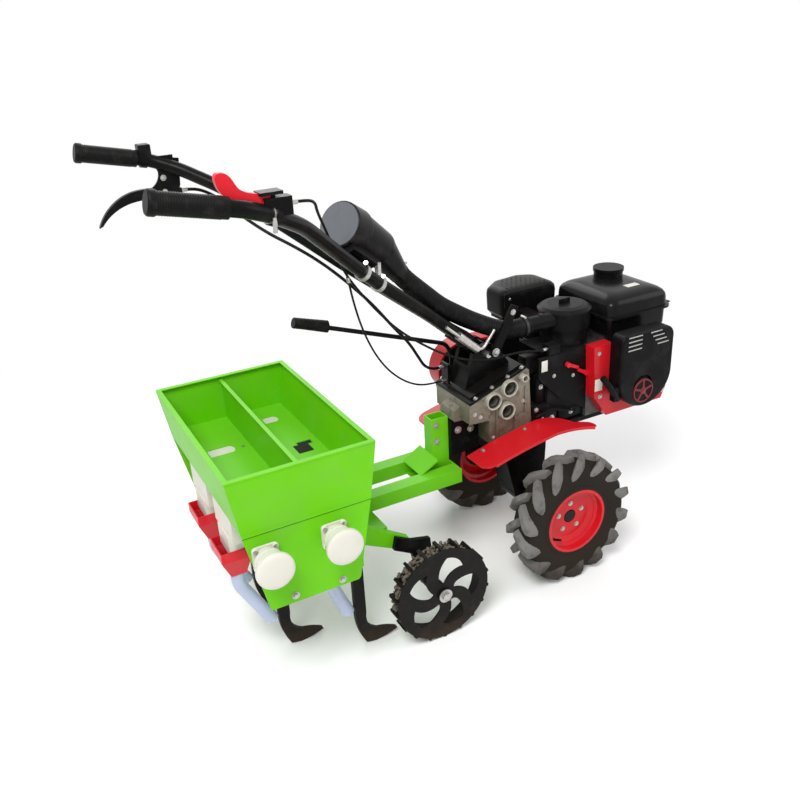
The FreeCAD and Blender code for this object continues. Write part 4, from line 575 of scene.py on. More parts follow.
def clod_tree():
    """Lumps of uneven size and turn, spread over a surface with a fixed seed."""
    tree, given = geometry_tree("clods", Float={"Density": 9000.0, "Size": 0.004},
                                Int={"Seed": 3})
    spread = tree.add("GeometryNodeDistributePointsOnFaces", {
        "Mesh": given["Geometry"], "Density": given["Density"], "Seed": given["Seed"]})
    lump = tree.add("GeometryNodeMeshIcoSphere", {"Radius": 1.0, "Subdivisions": 1})
    amount = tree.add("FunctionNodeRandomValue", {"Seed": given["Seed"], 2: SMALLEST_LUMP, 3: 1.0},
                      data_type="FLOAT")
    size = tree.maths("MULTIPLY", amount.outputs[1], given["Size"])
    spin = tree.add("FunctionNodeRandomValue", {"Seed": given["Seed"], 1: SPIN},
                    data_type="FLOAT_VECTOR")
    return close(tree, set_on(tree, spread, lump, Rotation=spin, Scale=size), given)


CLODS = clod_tree()
print("trees:", FASTENERS.name, ROUND_AXLE.name, TUBE.name, CLODS.name)

# %% [markdown]
# ## Lug tyres
# Field tyres carry tall rubber bars that start at the middle of the tread, lean back across it, and
# run over the shoulder down the sidewall. One bar is skinned over six-cornered sections along that
# path, and the tree repeats it round the axle. The other half of the tread is the same bar mirrored
# and moved on by half a pitch.

# %% A turned ring
def round_y(centre, angle, radius, y):
    """A point on a circle about a Y axis, at an angle from the top. Lengths are in mm."""
    return centre + Vector((math.sin(angle) * radius, y, math.cos(angle) * radius)) / 1000


def lathe(profile, centre, steps, closed=True):
    """A mesh from (y, radius) pairs in mm, turned about a Y axis through centre."""
    corners = [round_y(centre, math.tau * step / steps, radius, y)
               for step in range(steps) for y, radius in profile]
    count = len(profile)
    faces = []
    for step in range(steps):
        here, there = step * count, (step + 1) % steps * count
        for i in range(count if closed else count - 1):
            j = (i + 1) % count
            faces.append((here + i, here + j, there + j, there + i))
    return smooth(plain_mesh(corners, faces), angle=40)


# %% The tyre's case and one lug
CASE = [(-33, 91), (-38, 95), (-38.5, 101), (-36.5, 106), (-39, 112), (-41.5, 124), (-41.5, 138),
        (-39, 152), (-34, 161), (-24, 166), (-10, 168), (10, 168), (24, 166), (34, 161), (39, 152),
        (41.5, 138), (41.5, 124), (39, 112), (36.5, 106), (38.5, 101), (38, 95), (33, 91)]
LUGS_A_SIDE = 14
# Along a lug: y and radius at its foot, y and radius at its crest, angle back, half widths
LUG_PATH = [((-3, 163), (-3, 184), 0, 15, 8), ((8, 163), (8, 185), -3, 17, 11),
            ((20, 162), (20, 185), -7, 18, 12.5), ((31, 158), (32, 185), -11, 19, 13.5),
            ((36, 152), (43, 180), -14.5, 20, 14), ((38, 144), (45, 168), -17, 18, 12.5),
            ((39, 136), (44.5, 153), -19, 14, 9), ((40, 130), (42.5, 140), -20.5, 9, 5)]
EDGE_START, EDGE_WIDE, EDGE_NARROW = 0.8, 1.12, 0.86


def lug(centre, side):
    """One tread bar on one side of a tyre, with its crest's edges bevelled."""
    rings = []
    for foot, crest, back, wide, narrow in LUG_PATH:
        rising = ((0, wide), (EDGE_START, narrow * EDGE_WIDE), (1, narrow * EDGE_NARROW))
        falling = tuple((share, -half) for share, half in reversed(rising))
        ring = []
        for share, half in rising + falling:
            y = foot[0] + (crest[0] - foot[0]) * share
            radius = foot[1] + (crest[1] - foot[1]) * share
            ring.append(round_y(centre, math.radians(back) + half / radius, radius, y * side))
        rings.append(ring)
    return skinned(rings)


for name in ("tyre_right", "tyre_left"):
    centre = middle(name)
    half_pitch = math.pi / LUGS_A_SIDE
    bars = [grow(ROUND_AXLE, lug(centre, side), count=LUGS_A_SIDE, start=half_pitch * offset,
                 centre=centre, finish=FINISH["tyre"]) for side, offset in ((1, 0), (-1, 1))]
    case = piece(name + "_case", lathe(CASE, centre, 120), "tyre", "drive_axle", "tyre_wall")
    lugs = piece(name + "_lugs", smooth(joined(bars), angle=50), "tyre", "drive_axle")
    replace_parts(case, name)
    print(name, "has", LUGS_A_SIDE * 2, "lugs and", len(lugs.data.polygons), "faces in them")

# %% [markdown]
# ## Wheels: bolts, a valve and painted shade in the hub
# The red wheel discs are bolted to their hubs from outside, and a tyre valve pokes out through the
# rim. The hub is hollow, and a black disc in it is painted shade for its dark bore. Everything is
# placed by touching the disc from outside, so it sits on the disc whatever its dish.

# %% Wheel bolts, valves and painted shade in the hub bores
WHEEL_BOLTS, BOLT_CIRCLE, BOLT_HALF = 5, 0.041, 5.0
VALVE_ROOT, VALVE_RADIUS = (-0.062, 0.03, -0.050), 3.2
VALVE_OUT, VALVE_LEAN = 0.012, Vector((0.004, 0, 0.004))
HUB_EDGE, BORE_RADIUS, BORE_DEPTH = 0.028, 17, 0.6
BORE = [(0, 0), (0, BORE_RADIUS), (BORE_DEPTH, BORE_RADIUS), (BORE_DEPTH, 0)]
OUTSIDE = 0.2

for side, name in ((-1, "right"), (1, "left")):
    hub = middle("tyre_" + name)
    out = Vector((0, side, 0))
    heads = []
    for i in range(WHEEL_BOLTS):
        angle = math.tau * i / WHEEL_BOLTS
        start = hub + out * OUTSIDE + Vector((math.sin(angle), 0, math.cos(angle))) * BOLT_CIRCLE
        heads.append((touch("wheel_rims", start, -out), out, BOLT_HALF))
    fasteners(f"wheel_bolts_{name}", "drive_axle", heads)
    root_x, root_y, root_z = VALVE_ROOT
    low = hub + Vector((root_x, side * root_y, root_z))
    stem = touch("wheel_rims", low + out * OUTSIDE / 2, -out)
    step = out * VALVE_OUT + VALVE_LEAN
    tube(f"tyre_valve_{name}", [stem, stem + step, stem + step * 2], VALVE_RADIUS, "rubber",
         "drive_axle")
    # A black disc on the hub's face is painted shade for its hollow bore
    bore = touch("wheel_rims", hub + out * OUTSIDE + Vector((0, 0, HUB_EDGE)), -out)
    face_y = bore.y if side > 0 else bore.y - BORE_DEPTH / 1000
    piece(f"hub_bore_{name}", lathe(BORE, Vector((hub.x, face_y, hub.z)), 40), "rubber",
          "drive_axle", "deep_black")

# %% The ground wheel's nut
NUT_HALF = 12.5
ground_hub = middle("ground_wheel")
outer_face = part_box("ground_wheel_shaft")[0].y
fasteners("ground_wheel_nut", "seed_wheel",
          [(Vector((ground_hub.x, outer_face, ground_hub.z)), RIGHT, NUT_HALF)], washer=1.5)

# %% [markdown]
# ## Soil on the ground wheel
# The cleats have thrown up dry soil on the side that rises from the ground. Small lumps are spread
# with a fixed seed over two strips of the rim that face up and back, well clear of the ground.

# %% Lumps of soil
# Name of a strip, its first and last angle from the top, radius, lumps a square metre, size, seed
SOIL_STRIPS = (("cleats", -125, 35, 0.1265, 12000.0, 0.0058, 4),
               ("ring", -120, 30, 0.1200, 26000.0, 0.0042, 9))
STRIP_STEPS = 24
CLEAN_OUTER, CLEAN_INNER = 0.008, 0.003


def rim_strip(first, last, low, high, radius, centre):
    """A curved strip of the wheel's tread, between two angles from the top and two stations."""
    corners = []
    for step in range(STRIP_STEPS + 1):
        angle = math.radians(first + (last - first) * step / STRIP_STEPS)
        corners += [Vector((centre.x + math.sin(angle) * radius, y,
                            centre.z + math.cos(angle) * radius)) for y in (low, high)]
    return plain_mesh(corners, [(a, a + 1, a + 3, a + 2) for a in range(0, STRIP_STEPS * 2, 2)])


tread_low, tread_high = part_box("ground_wheel")
for label, first, last, radius, density, size, seed in SOIL_STRIPS:
    strip = rim_strip(first, last, tread_low.y + CLEAN_OUTER, tread_high.y - CLEAN_INNER, radius,
                      ground_hub)
    lumps = grow(CLODS, strip, density=density, size=size, seed=seed, finish=FINISH["dry_soil"])
    piece("soil_on_" + label, smooth(lumps, angle=30), "worn_steel", "seed_wheel", "dry_soil")
    print("soil on", label, len(lumps.polygons), "faces")

# %% [markdown]
# ## Control cables
# Three sheathed cables run from the levers on the handlebar down to the engine and gearbox. Each is
# a smooth spline steered by a few points, turned into a tube. The handlebar can be raised. A bright
# ferrule holds each end, the top one riding on the handlebar.

# %% Cable routes, from the handlebar to the back of the gearbox or of the carburettor
BOX_REAR, CARB_REAR = -224, 22
CLUTCH = [(-788, 345, 1104), (-758, 345, 1104), (-730, 331, 1094), (-703, 300, 1074),
          (-680, 256, 1046), (-656, 216, 1022), (-628, 180, 998), (-592, 147, 974),
          (-552, 120, 944), (-514, 97, 910), (-470, 74, 864), (-420, 57, 806), (-376, 44, 743),
          (-338, 36, 696), (-310, 38, 648), (-286, 46, 608), (-252, 54, 590), (BOX_REAR, 54, 590)]
THROTTLE = [(-757, -326, 1177), (-727, -326, 1177), (-698, -300, 1166), (-676, -252, 1136),
            (-644, -198, 1096), (-612, -150, 1050), (-580, -110, 998), (-550, -78, 944),
            (-504, -48, 884), (-452, -32, 820), (-400, -26, 762), (-344, -34, 716),
            (-284, -50, 676), (-224, -66, 650), (-162, -82, 640), (-96, -86, 644),
            (-46, -85, 640), (-10, -84, 630), (CARB_REAR, -84, 630)]
SHIFT = [(-556, -102, 944), (-549, -95, 916), (-534, -76, 872), (-512, -54, 812),
         (-484, -30, 752), (-450, -8, 692), (-410, 8, 638), (-362, 20, 594), (-310, 34, 564),
         (-262, 40, 556), (BOX_REAR, 40, 556)]
FERRULE_STEP, FERRULE_WALL = 0.007, 1.6


def length_of(points):
    """The length of a line through points."""
    return sum((b - a).length for a, b in zip(points, points[1:]))


for name, route, radius, lay in (("clutch_cable", CLUTCH, 4.0, "loose"),
                                 ("throttle_cable", THROTTLE, 3.0, "loose"),
                                 ("shift_cable", SHIFT, 2.5, "hanging")):
    points = spline_points(points_at(*route))
    cable = tube(name + "_sheath", points, radius, "rubber", None, step=0.003)
    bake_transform(cable)
    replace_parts(cable, name)
    print(name, round(length_of(points), 3), "m")
    for side, end, toward, body in (("top", points[0], points[1], "handlebar"),
                                    ("low", points[-1], points[-2], "chassis")):
        step = (toward - end).normalized() * FERRULE_STEP
        tube(f"{name}_ferrule_{side}", [end, end + step, end + step * 2], radius + FERRULE_WALL,
             "bare_steel", body)

# %% [markdown]
# ## The ribbed intake hose
# A corrugated rubber hose carries air from the pipe under the handlebar to the air cleaner. It is
# the same tube as a cable's, with a rib wave on its radius and plain cuffs under its clamps.

# %% Hose, cuffs and clamps
FREE_END = (-215, 0, 758)
HOSE = [(-386, 0, 912), (-362, 0, 881), (-340, 0, 860), (-300, 0, 823.5), (-259, 0, 786),
        FREE_END, (-175.4, 0, 732.8), (-110, -22, 700), (-68, -35, 688), (-6, -35, 688)]
HOSE_RADIUS, CUFF_RADIUS, BAND_RADIUS, SCREW_RADIUS = 23.6, 26.2, 26.9, 3.4
BAND_HALF, SCREW_HALF, SCREW_RISE = 0.004, 0.009, 0.0285
TOP_CUFF, LOW_CUFF = 0.026, 0.028
points = spline_points(points_at(*HOSE))
hose = tube("intake_hose_ribbed", points, HOSE_RADIUS, "rubber", None, step=0.0009,
            rib_height=0.0014, rib_pitch=0.0052, sides=44)
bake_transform(hose)
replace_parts(hose, "intake_hose")


def cut_line(points, start, stop):
    """The stretch of a line between two distances from its start, in metres."""
    run, kept = 0.0, []
    for a, b in zip(points, points[1:]):
        if start <= run <= stop:
            kept.append(a)
        run += (b - a).length
    return kept


def both_ways(centre, reach):
    """Three points on a line: a centre, and a reach to either side of it."""
    return [centre - reach, centre, centre + reach]


whole = length_of(points)
for label, start, stop, body in (("handlebar", 0.0, TOP_CUFF, "handlebar"),
                                 ("cleaner", whole - LOW_CUFF, whole, "chassis")):
    stretch = cut_line(points, start, stop)
    tube("hose_cuff_" + label, [stretch[0], stretch[len(stretch) // 2], stretch[-1]],
         CUFF_RADIUS, "rubber", body, sides=32)
    centre = (stretch[0] + stretch[-1]) / 2
    aim = (stretch[-1] - stretch[0]).normalized()
    tube("hose_clamp_" + label, both_ways(centre, aim * BAND_HALF), BAND_RADIUS, "bare_steel",
         body, "dark_steel", sides=40)
    up = aim.cross(Vector(LEFT)).normalized()
    up = up if up.z > 0 else -up
    tube("hose_screw_" + label, both_ways(centre + up * SCREW_RISE, aim.cross(up) * SCREW_HALF),
         SCREW_RADIUS, "bare_steel", body, sides=12)
print("hose", round(whole, 3), "m")

# %% [markdown]
# ## Bolts
# Every bracket, cover and flange on the real machine is bolted. The heads are placed by touching
# the CAD piece that each one holds, and one tree makes all the heads of a group.

# %% Bolt heads
FAR_OUT = 0.3
LID_SLOPE = (-0.342, 0, 0.940)
# Each row: CAD piece, place in mm, the way the head faces, half its width, the side it's found from
TRACTOR_BOLTS = [
    *[("gearbox_lid", x, -88, 640, LID_SLOPE, 4.6, UP) for x in (-212, -160, -110, -66)],
    *[("gearbox", x, -90, z, RIGHT, 4.2)
      for x, z in ((-216, 500), (-60, 500), (-52, 420), (-158, 416), (-198, 488))],
    *[("hitch_channel", -296, -20, z, RIGHT, 6) for z in (462, 413)],
    *[("hitch_bracket", x, -35, z, RIGHT, 7.5) for x, z in ((-236, 438), (-196, 432))],
    ("side_strut", -134, -69, 652, RIGHT, 8), ("side_strut", -80, -69, 752, RIGHT, 5.5),
    ("fender_right", -204, -110, 430, UP, 5), ("fender_right", -70, -112, 430, UP, 4.4),
    *[("blower_housing", x, -136, z, RIGHT, half)
      for x, z, half in ((170, 470, 5), (404, 430, 5), (400, 590, 4.4), (160, 600, 4.4))],
    *[("carburettor_housing", x, -98, z, RIGHT, 4) for x, z in ((37, 552), (103, 538))],
    *[("gearbox_lid", x, 79, 640, LID_SLOPE, 4.6, UP) for x in (-212, -160, -110)],
    *[("belt_cover", x, 150, z, LEFT, 5) for x, z in ((-20, 470), (120, 440), (250, 500))],
    ("fender_left", -204, 110, 430, UP, 5),
    *[("muffler", x, 150, z, RIGHT, 4.6) for x, z in ((62, 700), (200, 660))],
    *[("hitch_channel", -296, 20, z, LEFT, 6) for z in (462, 413)],
]
PLANTER_BOLTS = [
    *[("side_plates", x, side * 285, z, (0, side, 0), 6.5)
      for side in (-1, 1) for x, z in ((-827, 293), (-710, 291))],
    *[("hopper", x, y, 520, UP, 3.2) for x, y in ((-797, -70), (-797, -150), (-797, 90),
                                                  (-748, -236), (-748, 40), (-748, 238))],
]
CLUTCH_BOLTS = [("clutch_lever", -829, 345, 1140, RIGHT, 5),
                ("clutch_lever", -830, 345, 1106, RIGHT, 5)]


def head(name, x, y, z, aim, half, side=None):
    """One bolt head on a CAD piece, found by coming in from far out on one side of it."""
    aim = Vector(aim).normalized()
    out = Vector(side or aim)
    return touch(name, at(x, y, z) + out * FAR_OUT, -out), aim, half


for name, body, rows in (("tractor_bolts", "chassis", TRACTOR_BOLTS),
                         ("planter_bolts", "chassis", PLANTER_BOLTS),
                         ("clutch_bolts", "handlebar", CLUTCH_BOLTS)):
    fasteners(name, body, [head(*row) for row in rows])

# %% [markdown]
# ## Seams in the folded sheet
# The hopper's end walls are folded over the side plates. A hem shows as a thin step, and a dark
# green strip under it is its painted shadow. Under the agitator's opening a black block is painted
# shade in the throat.

# %% Hems, their painted shadows, and painted shade in the throat
END_WALL = 284.6


def block(low, high, bevel):
    """A box between two corners, in mm from the axle, with rounded edges."""
    work = bmesh.new()
    bmesh.ops.create_cube(work, size=1.0)
    a, b = at(*low), at(*high)
    for vertex in work.verts:
        vertex.co = Vector(((a[i] + b[i]) / 2 + vertex.co[i] * (b[i] - a[i]) for i in range(3)))
    if bevel:
        bmesh.ops.bevel(work, geom=work.edges, offset=bevel / 1000, segments=2, affect="EDGES",
                        profile=0.5)
    mesh = bpy.data.meshes.new("block")
    work.to_mesh(mesh)
    work.free()
    return smooth(mesh, angle=30)


def blocks(*rows):
    """Several blocks as one mesh."""
    return joined([block(*row) for row in rows])


def end_strips(face, bevel, *rows):
    """Thin strips on both end walls, out to a face. Each row is low x and z, high x and z."""
    sides = [sorted((side * END_WALL, side * face)) for side in (-1, 1)]
    return blocks(*[((x, inner, z), (far_x, outer, far_z), bevel)
                    for inner, outer in sides for x, z, far_x, far_z in rows])


piece("hopper_hems", end_strips(286.2, 0.4, (-929, 481, -623, 484.5), (-950, 619, -602, 622.9)),
      "green_paint", "chassis")
# A dark green strip under each hem is painted shadow in the fold, not a part
piece("hopper_seams", end_strips(285.5, 0, (-929, 479.2, -623, 481.2)), "green_paint",
      "chassis", "seam_shade")
# A black block in the agitator's opening is painted shade in its throat
piece("agitator_throat", block((-697, -36, 474), (-633, 36, 497.6), 2), "black_plastic",
      "chassis", "deep_black")

# %% [markdown]
# ## Machined faces and the starter's hub
# The open bosses of the gearbox are turned bright at their ends, and black rings and discs inside
# each bore are painted shade.
# The recoil starter has a dark red hub with five spokes on its face, and the bright fan guard shows
# through its slots.

# %% Boss rings, with painted shade in their throats and bores
BOSS_FACE = -98.6
BOSSES = points_at(*[(x, BOSS_FACE, z) for x, z in ((-162, 528), (-110, 553), (-118, 488))])
BOSS_RING = [(1, 19), (-5.5, 19.4), (-6.5, 20.6), (-6, 23), (-1, 25), (9, 25.6), (9, 19)]
BOSS_BORE_SHADE = [(26, 0), (26, 12.4), (27, 12.4), (27, 0)]
BOSS_THROAT_SHADE = [(-0.6, 12.6), (-0.6, 19.2), (1, 19.2), (1, 12.6)]
BREATHER = [(14, 11), (-12, 11), (-13.5, 10), (-13.5, 7.5), (14, 7.5)]
rings = [lathe(BOSS_RING, centre, 48) for centre in BOSSES]
rings.append(lathe(BREATHER, at(-66, -96, 573), 40))
piece("boss_rings", joined(rings), "raw_aluminium", "chassis", "cast_rim")
# Black rings in the throats and discs at the bottoms of the bores are painted shade
for name, profile in (("boss_throats", BOSS_THROAT_SHADE), ("boss_bores", BOSS_BORE_SHADE)):
    piece(name, joined([lathe(profile, centre, 40) for centre in BOSSES]), "black_plastic",
          "chassis", "deep_black")

# %% The starter's hub and the guard behind its slots
HUB = at(285, -183.2, 475)
HUB_SPOKES = 5
SLOT_ROWS, SLOT_TOP, SLOT_PITCH, SLOT_LEAN = 4, 641, 12.5, 9
SLOT_FRONT, SLOT_BACK, SLOT_LOW, SLOT_HIGH = -181.2, -179, 0.6, 4.4
ring = lathe([(1.4, 31), (-1.6, 31.6), (-2.2, 33), (-1.6, 35), (1.4, 36)], HUB, 64)
boss = lathe([(1.4, 0), (-2.4, 0), (-2.4, 8), (-0.8, 10), (1.4, 10)], HUB, 40, closed=False)
spokes = grow(ROUND_AXLE, block((281.6, -184.4, 482), (288.4, -182.2, 508), 0.9),
              count=HUB_SPOKES, centre=HUB, finish=FINISH["red_plastic"])
piece("starter_hub", joined([ring, boss, spokes]), "red_plastic", "chassis", "hub_red")
piece("starter_hub_back", lathe([(1.4, 0), (0.2, 0), (0.2, 32), (1.4, 32)], HUB, 64,
                                closed=False), "black_plastic", "chassis")
slots = []
for row in range(SLOT_ROWS):
    z, lean = SLOT_TOP - row * SLOT_PITCH, row * SLOT_LEAN
    for start, stop in ((223, 272), (301 + lean, 343 + lean)):
        slots.append(((start, SLOT_FRONT, z + SLOT_LOW), (stop, SLOT_BACK, z + SLOT_HIGH), 0.5))
piece("starter_grille", blocks(*slots), "grey_plastic", "chassis", "bare_steel")

# %% [markdown]
# ## Rounded outlines, plates and lofts
# Plates and blow-moulded shapes start from an outline of a few corners. The outline is pulled in by
# an inset, its corners are rounded by arcs, and the result is made thick as a plate or stacked as a
# loft. One table row for each height then describes a whole soft body.

# %% Outlines, plates and lofts
def corners_of(outline):
    """Each corner, the directions to its two neighbours, and half of the angle between them."""
    for i, corner in enumerate(outline):
        corner = Vector(corner)
        before = (Vector(outline[i - 1]) - corner).normalized()
        after = (Vector(outline[(i + 1) % len(outline)]) - corner).normalized()
        yield corner, before, after, before.angle(after) / 2


def rounded(outline, radius, steps=7):
    """A closed outline in mm with its corners rounded by arcs."""
    points = []
    for corner, before, after, half in corners_of(outline):
        reach = radius / math.tan(half)
        centre = corner + (before + after).normalized() * (radius / math.sin(half))
        first, last = corner + before * reach, corner + after * reach
        for step in range(steps):
            leg = (first.lerp(last, step / (steps - 1)) - centre).normalized()
            points.append(centre + leg * radius)
    return points


def shrunk(outline, inset):
    """A convex outline pulled in by a distance on every side."""
    return [corner + (before + after).normalized() * (inset / math.sin(half))
            for corner, before, after, half in corners_of(outline)]


def plate(outline, y_low, y_high):
    """A flat plate across the machine from an (x, z) outline in mm from the axle."""
    return smooth(skinned([[at(x, y, z) for x, z in outline] for y in (y_low, y_high)]))


def loft(outline, layers):
    """A closed body from an (x, y) outline. Each layer has a height, an inset and a radius."""
    return smooth(skinned([[at(x, y, z) for x, y in rounded(shrunk(outline, inset), radius)]
                           for z, inset, radius in layers]), angle=30)


# %% [markdown]
# ## Metering knobs
# The two setting knobs turn the metering shafts. Each has a square flange held by four bright
# screws, a ringed neck and a smooth domed head, so it is turned from one profile.

# %% Knobs, flanges and their screws
KNOB = [(0, 0), (0, 25), (-13, 25), (-14, 29), (-17, 31.5), (-21, 32), (-25, 31.5), (-27, 29),
        (-28, 27), (-33, 27), (-34, 31), (-37, 34.5), (-40, 35), (-43, 34), (-44, 32), (-48, 33),
        (-51, 38), (-54, 42), (-57, 44), (-64, 44), (-67, 43), (-69, 40), (-70.5, 34), (-71.4, 24),
        (-72, 10), (-72, 0)]
EAR = [(0, 0), (0, 7), (-5, 6.4), (-5.4, 5.6), (-5.4, 0)]
KNOB_XS, KNOB_Z = (-884, -721), 422
FLANGE_HALF, FLANGE_CORNER, EAR_OFFSET = 30, 8, 23.5
FLANGE_BACK, FLANGE_FRONT, EAR_BACK, SCREW_Y = -285, -290, -289, -294.4
square = rounded([(-FLANGE_HALF, -FLANGE_HALF), (FLANGE_HALF, -FLANGE_HALF),
                  (FLANGE_HALF, FLANGE_HALF), (-FLANGE_HALF, FLANGE_HALF)], FLANGE_CORNER)
knobs, screws = [], []
for x in KNOB_XS:
    knobs.append(plate([(x + p.x, KNOB_Z + p.y) for p in square], FLANGE_FRONT, FLANGE_BACK))
    knobs.append(lathe(KNOB, at(x, FLANGE_BACK, KNOB_Z), 72, closed=False))
    for ear_x in (x - EAR_OFFSET, x + EAR_OFFSET):
        for ear_z in (KNOB_Z - EAR_OFFSET, KNOB_Z + EAR_OFFSET):
            knobs.append(lathe(EAR, at(ear_x, EAR_BACK, ear_z), 24, closed=False))
            screws.append((at(ear_x, SCREW_Y, ear_z), RIGHT, 3.6))
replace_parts(piece("metering_knobs_turned", joined(knobs), "white_plastic", "chassis"),
            "metering_knobs")
fasteners("knob_screws", "chassis", screws, washer=1.4, head_height=0.8)

# %% [markdown]
# ## A tank with soft shoulders
# The fuel tank is blow-moulded, so its top rises to a crown with wide soft shoulders. It is lofted
# from rounded rectangles at several heights, each a little smaller than the one below. The heat
# shield of the muffler is built the same way from an uneven outline.

# %% The fuel tank, with the skirt of its cap and a blank plate
TANK = [(226, -98), (448, -98), (448, 152), (226, 152)]
TANK_LAYERS = ((616, 9, 20), (620, 5, 24), (668, 3, 27), (669, -8, 34), (675, -8, 34),
               (676, 0, 30), (698, 1, 29), (708, 3, 28), (716, 8, 28), (723, 17, 28),
               (728, 29, 28), (730.5, 44, 26), (731.2, 60, 22))
tank_tab = block((444, -76, 669.5), (470, -52, 674), 1.5)
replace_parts(piece("fuel_tank_shell", joined([loft(TANK, TANK_LAYERS), tank_tab]), "tank_plastic",
                  "chassis"), "fuel_tank")
tube("cap_skirt", points_at(*[(372, 84, z) for z in (727, 736, 745)]), 42.5, "black_plastic",
     "chassis", sides=48)
piece("tank_plate", block((337, -42, 730.6), (381, -20, 732), 0.5), "white_plastic", "chassis")

# %% The duct into the air cleaner's canister
duct = points_at((-30, -35, 688), (20, -36, 688), (70, -38, 688))
tube("canister_duct", spline_points(duct), 22.5, "black_plastic", "chassis", sides=40)

# %% The muffler's shield and its dimples
SHIELD = [(38, 147), (38, 238), (92, 280), (176, 292), (234, 262), (238, 147)]
SHIELD_LAYERS = ((640, 10, 14), (650, 2, 20), (700, 0, 22), (712, 2, 22), (719, 8, 22),
                 (723, 18, 22), (725, 32, 20))
DIMPLE_ROWS, DIMPLE_COLUMNS, DIMPLE_X, DIMPLE_Y, SHIELD_TOP = 7, 9, 72, 178, 724.2
piece("muffler_shield", loft(SHIELD, SHIELD_LAYERS), "black_paint", "chassis")
dimples = []
for row in range(DIMPLE_ROWS):
    for column in range(DIMPLE_COLUMNS):
        x, y = DIMPLE_X + column * 17 + row % 2 * 8, DIMPLE_Y + row * 12
        inside = x + (y - DIMPLE_Y) * 0.6 < 216 and y < 226 + x * 0.28
        if inside and row * 6 < column * 9 + 22:
            dimples.append((at(x, y, SHIELD_TOP), UP, 2.6))
fasteners("muffler_dimples", "chassis", dimples, slot="black_paint", sides=8, washer=0.9,
          head_height=0.2)

# %% [markdown]
# ## Behind the covers
# The belt cover is open towards the engine, so its back is a dark plate inside a red rim. Between
# the gearbox and the engine sit small black castings with bright bolts, and a fuel pipe.

# %% The belt cover's back
def arc(x, z, radius, start, stop, steps=18):
    """Points on an arc round (x, z) in mm, between two angles."""
    angles = [math.radians(start + (stop - start) * i / steps) for i in range(steps + 1)]
    return [Vector((x + math.cos(angle) * radius, z + math.sin(angle) * radius))
            for angle in angles]


piece("belt_back", plate(arc(-115, 535, 74, 85, 265) + arc(292, 505, 82, 265, 445), 129.2, 131.2),
      "black_paint", "chassis")

# %% Castings, bolts and a fuel pipe between gearbox and engine
piece("engine_castings", blocks(((-26, -88, 402), (60, -60, 470), 5),
                                ((-8, -80, 470), (40, -40, 556), 6),
                                ((62, -92, 402), (148, -70, 440), 4),
                                ((-38, -70, 560), (10, -30, 612), 6)), "black_paint", "chassis")
fasteners("engine_bolts", "chassis", [(at(x, y, z), RIGHT, half) for x, y, z, half in (
    (-14, -88, 458, 5), (40, -88, 420, 6), (8, -88, 424, 4), (104, -92, 424, 5),
    (6, -80, 520, 5))])
pipe = points_at((-20, -96, 440), (16, -100, 452), (60, -104, 446), (110, -104, 430))
tube("fuel_pipe", spline_points(pipe), 3, "rubber", "chassis")

# %% The pre-cleaner's smoky face
face_aim = Vector((0.755, 0.43, -0.49)).normalized()
tube("pre_cleaner_face", both_ways(at(-547, -60, 1056), face_aim * 0.0012), 50.5, "grey_plastic",
     "handlebar", "smoky_face", sides=64)

# %% [markdown]
# ## Small controls on the engine
# Two red levers work the choke and the fuel tap on the black cover of the carburettor, and a black
# grip ends the starter's rope. The plain white plates are where the real machine carries its
# lettering, and they are left blank.

# %% Levers, the starter's grip and blank plates
def flat_bar(start, end, half_width, y_low, y_high):
    """A bar with round ends in an upright plane across the machine, in mm from the axle."""
    a, b = Vector(start), Vector(end)
    run = (b - a).normalized()
    side = Vector((-run.y, run.x))
    rim = []
    for centre, facing, turn in ((b, run, side), (a, -run, -side)):
        for i in range(9):
            angle = math.pi * i / 8
            rim.append(centre + (turn * math.cos(angle) + facing * math.sin(angle)) * half_width)
    return plate(rim, y_low, y_high)


piece("engine_levers", joined([flat_bar((76, 578), (112, 562), 4.5, -106, -100),
                               flat_bar((118, 552), (146, 536), 4.5, -106, -100),
                               flat_bar((80, 576), (80.5, 575.5), 7, -108, -98),
                               flat_bar((142, 538), (142.5, 537.5), 7, -108, -98)]),
      "red_plastic", "chassis")
rope_grip = points_at((152, -165, 540), (170, -172, 512), (192, -172, 484), (206, -165, 462))
tube("starter_grip", spline_points(rope_grip), 9.5, "black_plastic", "chassis", sides=20)
piece("blank_plates", blocks(((-6, -99, 572), (14, -97.6, 604), 1.0),
                             ((150, -137, 488), (176, -135.6, 524), 1.0)),
      "white_plastic", "chassis")

# %% [markdown]
# ## Grips, straps and the pre-cleaner's saddle
# The rubber grips of the handlebar and of the gear lever have close ribs for the hand. A bright
# band holds the throttle's cable to the right tube, and a black saddle with two bolts carries the
# pre-cleaner.

# %% Ribbed grips
RUN = Vector((138, 0, -30)).normalized()
for sign, label in ((-1, "right"), (1, "left")):
    end = Vector((-1020, 355 * sign, 1220))
    tube("grip_ribs_" + label, points_at(*[end + RUN * d for d in (9, 65, 128)]), 20.3, "rubber",
         "handlebar", step=0.0009, rib_height=0.0006, rib_pitch=0.0045, sides=36)
GEAR_TIP, GEAR_REAR = Vector((-636, 66, 803)), Vector((-543, 66, 775))
run = (GEAR_REAR - GEAR_TIP).normalized()
tube("gear_grip_ribs", points_at(*[GEAR_TIP + run * d for d in (2, 47, 92)]), 13.3, "rubber",
     "chassis", step=0.0012, rib_height=0.0008, rib_pitch=0.0062, sides=28)

